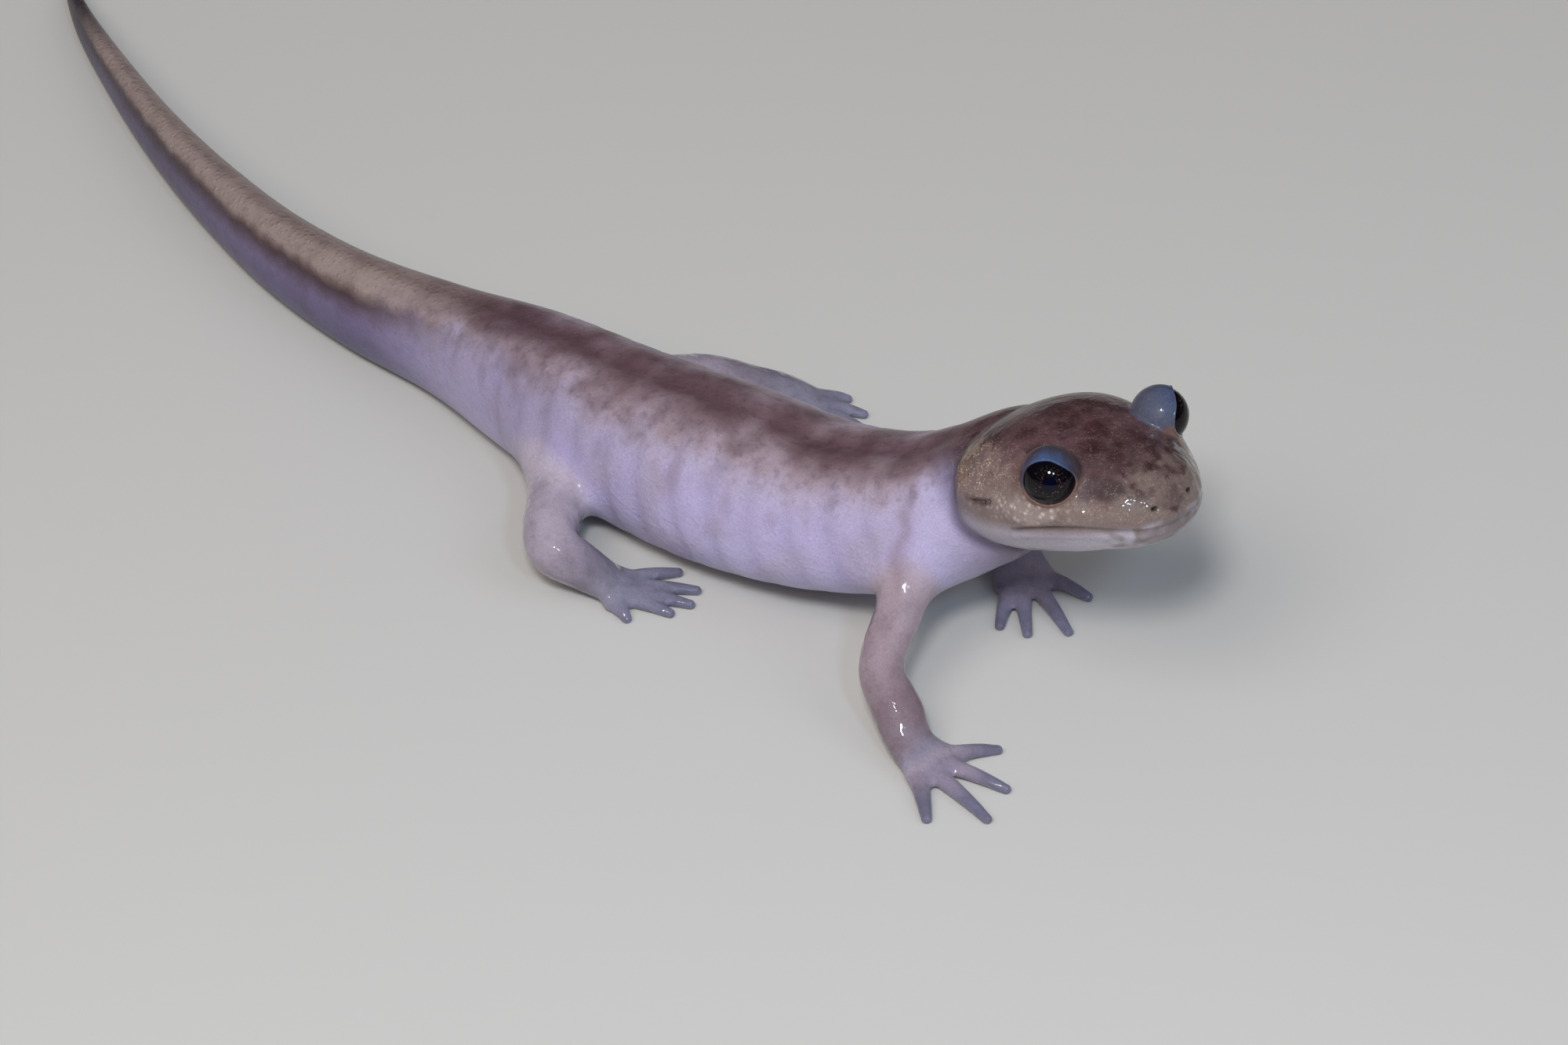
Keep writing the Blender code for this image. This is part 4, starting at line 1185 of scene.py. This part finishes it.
wet_skin, tree, shader = new_material("wet salamander skin", {
    "IOR": 1.40, "Specular IOR Level": 0.2, "Roughness": 0.42, "Subsurface Radius": (1.0, 0.75, 0.65),
    "Subsurface Scale": 0.2 * MM, "Coat IOR": 1.34})
object_place = add_node(tree, "TexCoord").outputs["Object"]
share = {name: add_node(tree, "Attribute", {"attribute_name": name}).outputs["Fac"] for name in masks}
for name, (kind, output, size, start, full, mask) in PATTERNS.items():
    texture = add_node(tree, kind, None, {"Vector": object_place, "Scale": 1 / (size * MM)})
    spread = add_node(tree, "MapRange", {"interpolation_type": "SMOOTHSTEP"}, {
        "Value": texture.outputs[output], "From Min": start, "From Max": full})
    share[name] = add_node(tree, "Math", {"operation": "MULTIPLY"}, {
        0: spread.outputs["Result"], 1: share[mask]}).outputs[0]
for name, operation, first, second in (("all flecks", "MAXIMUM", "small flecks", "large flecks"),
                                       ("warts and granules", "ADD", "warts", "pale granules")):
    joint = add_node(tree, "Math", {"operation": operation}, {0: share[first], 1: share[second]})
    share[name] = joint.outputs[0]
for name, (size, detail) in NOISES.items():
    share[name] = add_node(tree, "TexNoise", None, {
        "Vector": object_place, "Scale": 1 / (size * MM), "Detail": detail}).outputs["Fac"]
for name, (mask, full, at_none, at_full) in GIVEN_BY_MASKS.items():
    share[name] = add_node(tree, "MapRange", {"interpolation_type": "SMOOTHSTEP"}, {
        "Value": share[mask], "From Max": full, "To Min": at_none, "To Max": at_full}).outputs["Result"]
    if name in shader.inputs:
        tree.links.new(share[name], shader.inputs[name])

colour = add_node(tree, "Attribute", {"attribute_name": "tone"}).outputs["Color"]
for name, (strength, pigment) in PIGMENTS.items():
    amount = add_node(tree, "Math", {"operation": "MULTIPLY"}, {0: share[name], 1: strength})
    colour = add_node(tree, "Mix", {"data_type": "RGBA"}, {
        0: amount.outputs[0], 6: colour, 7: srgb(pigment)}).outputs[2]
brightness = add_node(tree, "MapRange", {"interpolation_type": "SMOOTHSTEP"}, {
    "Value": share["grain"], "From Min": GRAIN_SPREAD[0], "From Max": GRAIN_SPREAD[1],
    "To Min": GRAIN_BRIGHTNESS[0], "To Max": GRAIN_BRIGHTNESS[1]})
grainy = add_node(tree, "VectorMath", {"operation": "SCALE"}, {
    0: colour, "Scale": brightness.outputs["Result"]})
tree.links.new(grainy.outputs["Vector"], shader.inputs["Base Color"])

for socket, layers in BUMPS.items():
    below = {}
    for name, depth in layers:
        distance = share["depth of the film"] if depth is None else depth * MM
        layer = add_node(tree, "Bump", None, {
            "Height": share[name], "Distance": distance, "Strength": 1.0, **below})
        below = {"Normal": layer.outputs["Normal"]}
    tree.links.new(below["Normal"], shader.inputs[socket])
skin.data.materials.clear()
skin.data.materials.append(wet_skin)
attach(skin, "root")
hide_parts(*[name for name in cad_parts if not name.startswith("eye")])

# The eyes are near-black balls, wet and smooth, so each shows the lamps as small, sharp sparkles. The pupil
# is blue-black, with faint bronze flecks round it.
PUPIL_TURN = 26
PUPIL_DROP = 14
BRONZE_SIZE = 0.09
BRONZE_STRENGTH = 0.8
# What each share reads, and where it starts and is full: degrees from the pupil's middle, or noise
EYE_SHARES = {"round the pupil": ("from_pupil", 12, 16), "inside the iris": ("from_pupil", 14, 19),
              "within its edge": ("from_pupil", 44, 24), "in flecks": ("bronze", 0.54, 0.70)}
dark_eye, tree, shader = new_material("dark wet eye", {
    "Specular IOR Level": 0.0, "Coat Weight": 1.0, "Coat Roughness": 0.02, "Coat IOR": 1.30})
object_place = add_node(tree, "TexCoord").outputs["Object"]
sources = {
    "from_pupil": add_node(tree, "Attribute", {"attribute_name": "from_pupil"}).outputs["Fac"],
    "bronze": add_node(tree, "TexNoise", None, {
        "Vector": object_place, "Scale": 1 / (BRONZE_SIZE * MM), "Roughness": 0.6}).outputs["Fac"],
}
share = {}
for name, (source, start, full) in EYE_SHARES.items():
    share[name] = add_node(tree, "MapRange", {"interpolation_type": "SMOOTHSTEP"}, {
        "Value": sources[source], "From Min": start, "From Max": full}).outputs["Result"]
bronze = BRONZE_STRENGTH
for name in ("inside the iris", "within its edge", "in flecks"):
    bronze = add_node(tree, "Math", {"operation": "MULTIPLY"}, {0: bronze, 1: share[name]}).outputs[0]
colour = srgb("#060618")
for amount, pigment in ((share["round the pupil"], "#08070b"), (bronze, "#54403c")):
    colour = add_node(tree, "Mix", {"data_type": "RGBA"}, {0: amount, 6: colour, 7: srgb(pigment)}).outputs[2]
tree.links.new(colour, shader.inputs["Base Color"])
for side, name in ((1, "eye_left"), (-1, "eye_right")):
    eye = ball(name + "_ball", EYE_RADIUS, Matrix.Identity(4), 128)
    pupil_axis = (Matrix.Rotation(math.radians(-side * PUPIL_TURN), 4, "Z")
                  @ Matrix.Rotation(math.radians(PUPIL_DROP), 4, "Y")) @ Vector((1, 0, 0))
    cosines = unit(mesh_points(eye.data)) @ np.array(pupil_axis)
    add_attribute(eye.data, "from_pupil", np.degrees(np.arccos(np.clip(cosines, -1, 1))))
    eye.data.transform(Matrix.Scale(MM, 4) @ Matrix.Translation(Vector(ORIGIN_IN_FRAME)) @ eye_frame(side))
    eye.data.shade_smooth()
    eye.data.materials.append(dark_eye)
    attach(eye, "root")
    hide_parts(name)

sizes = {"cad": [list(corner) for corner in cad_box], "visual": [list(corner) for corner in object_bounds()]}
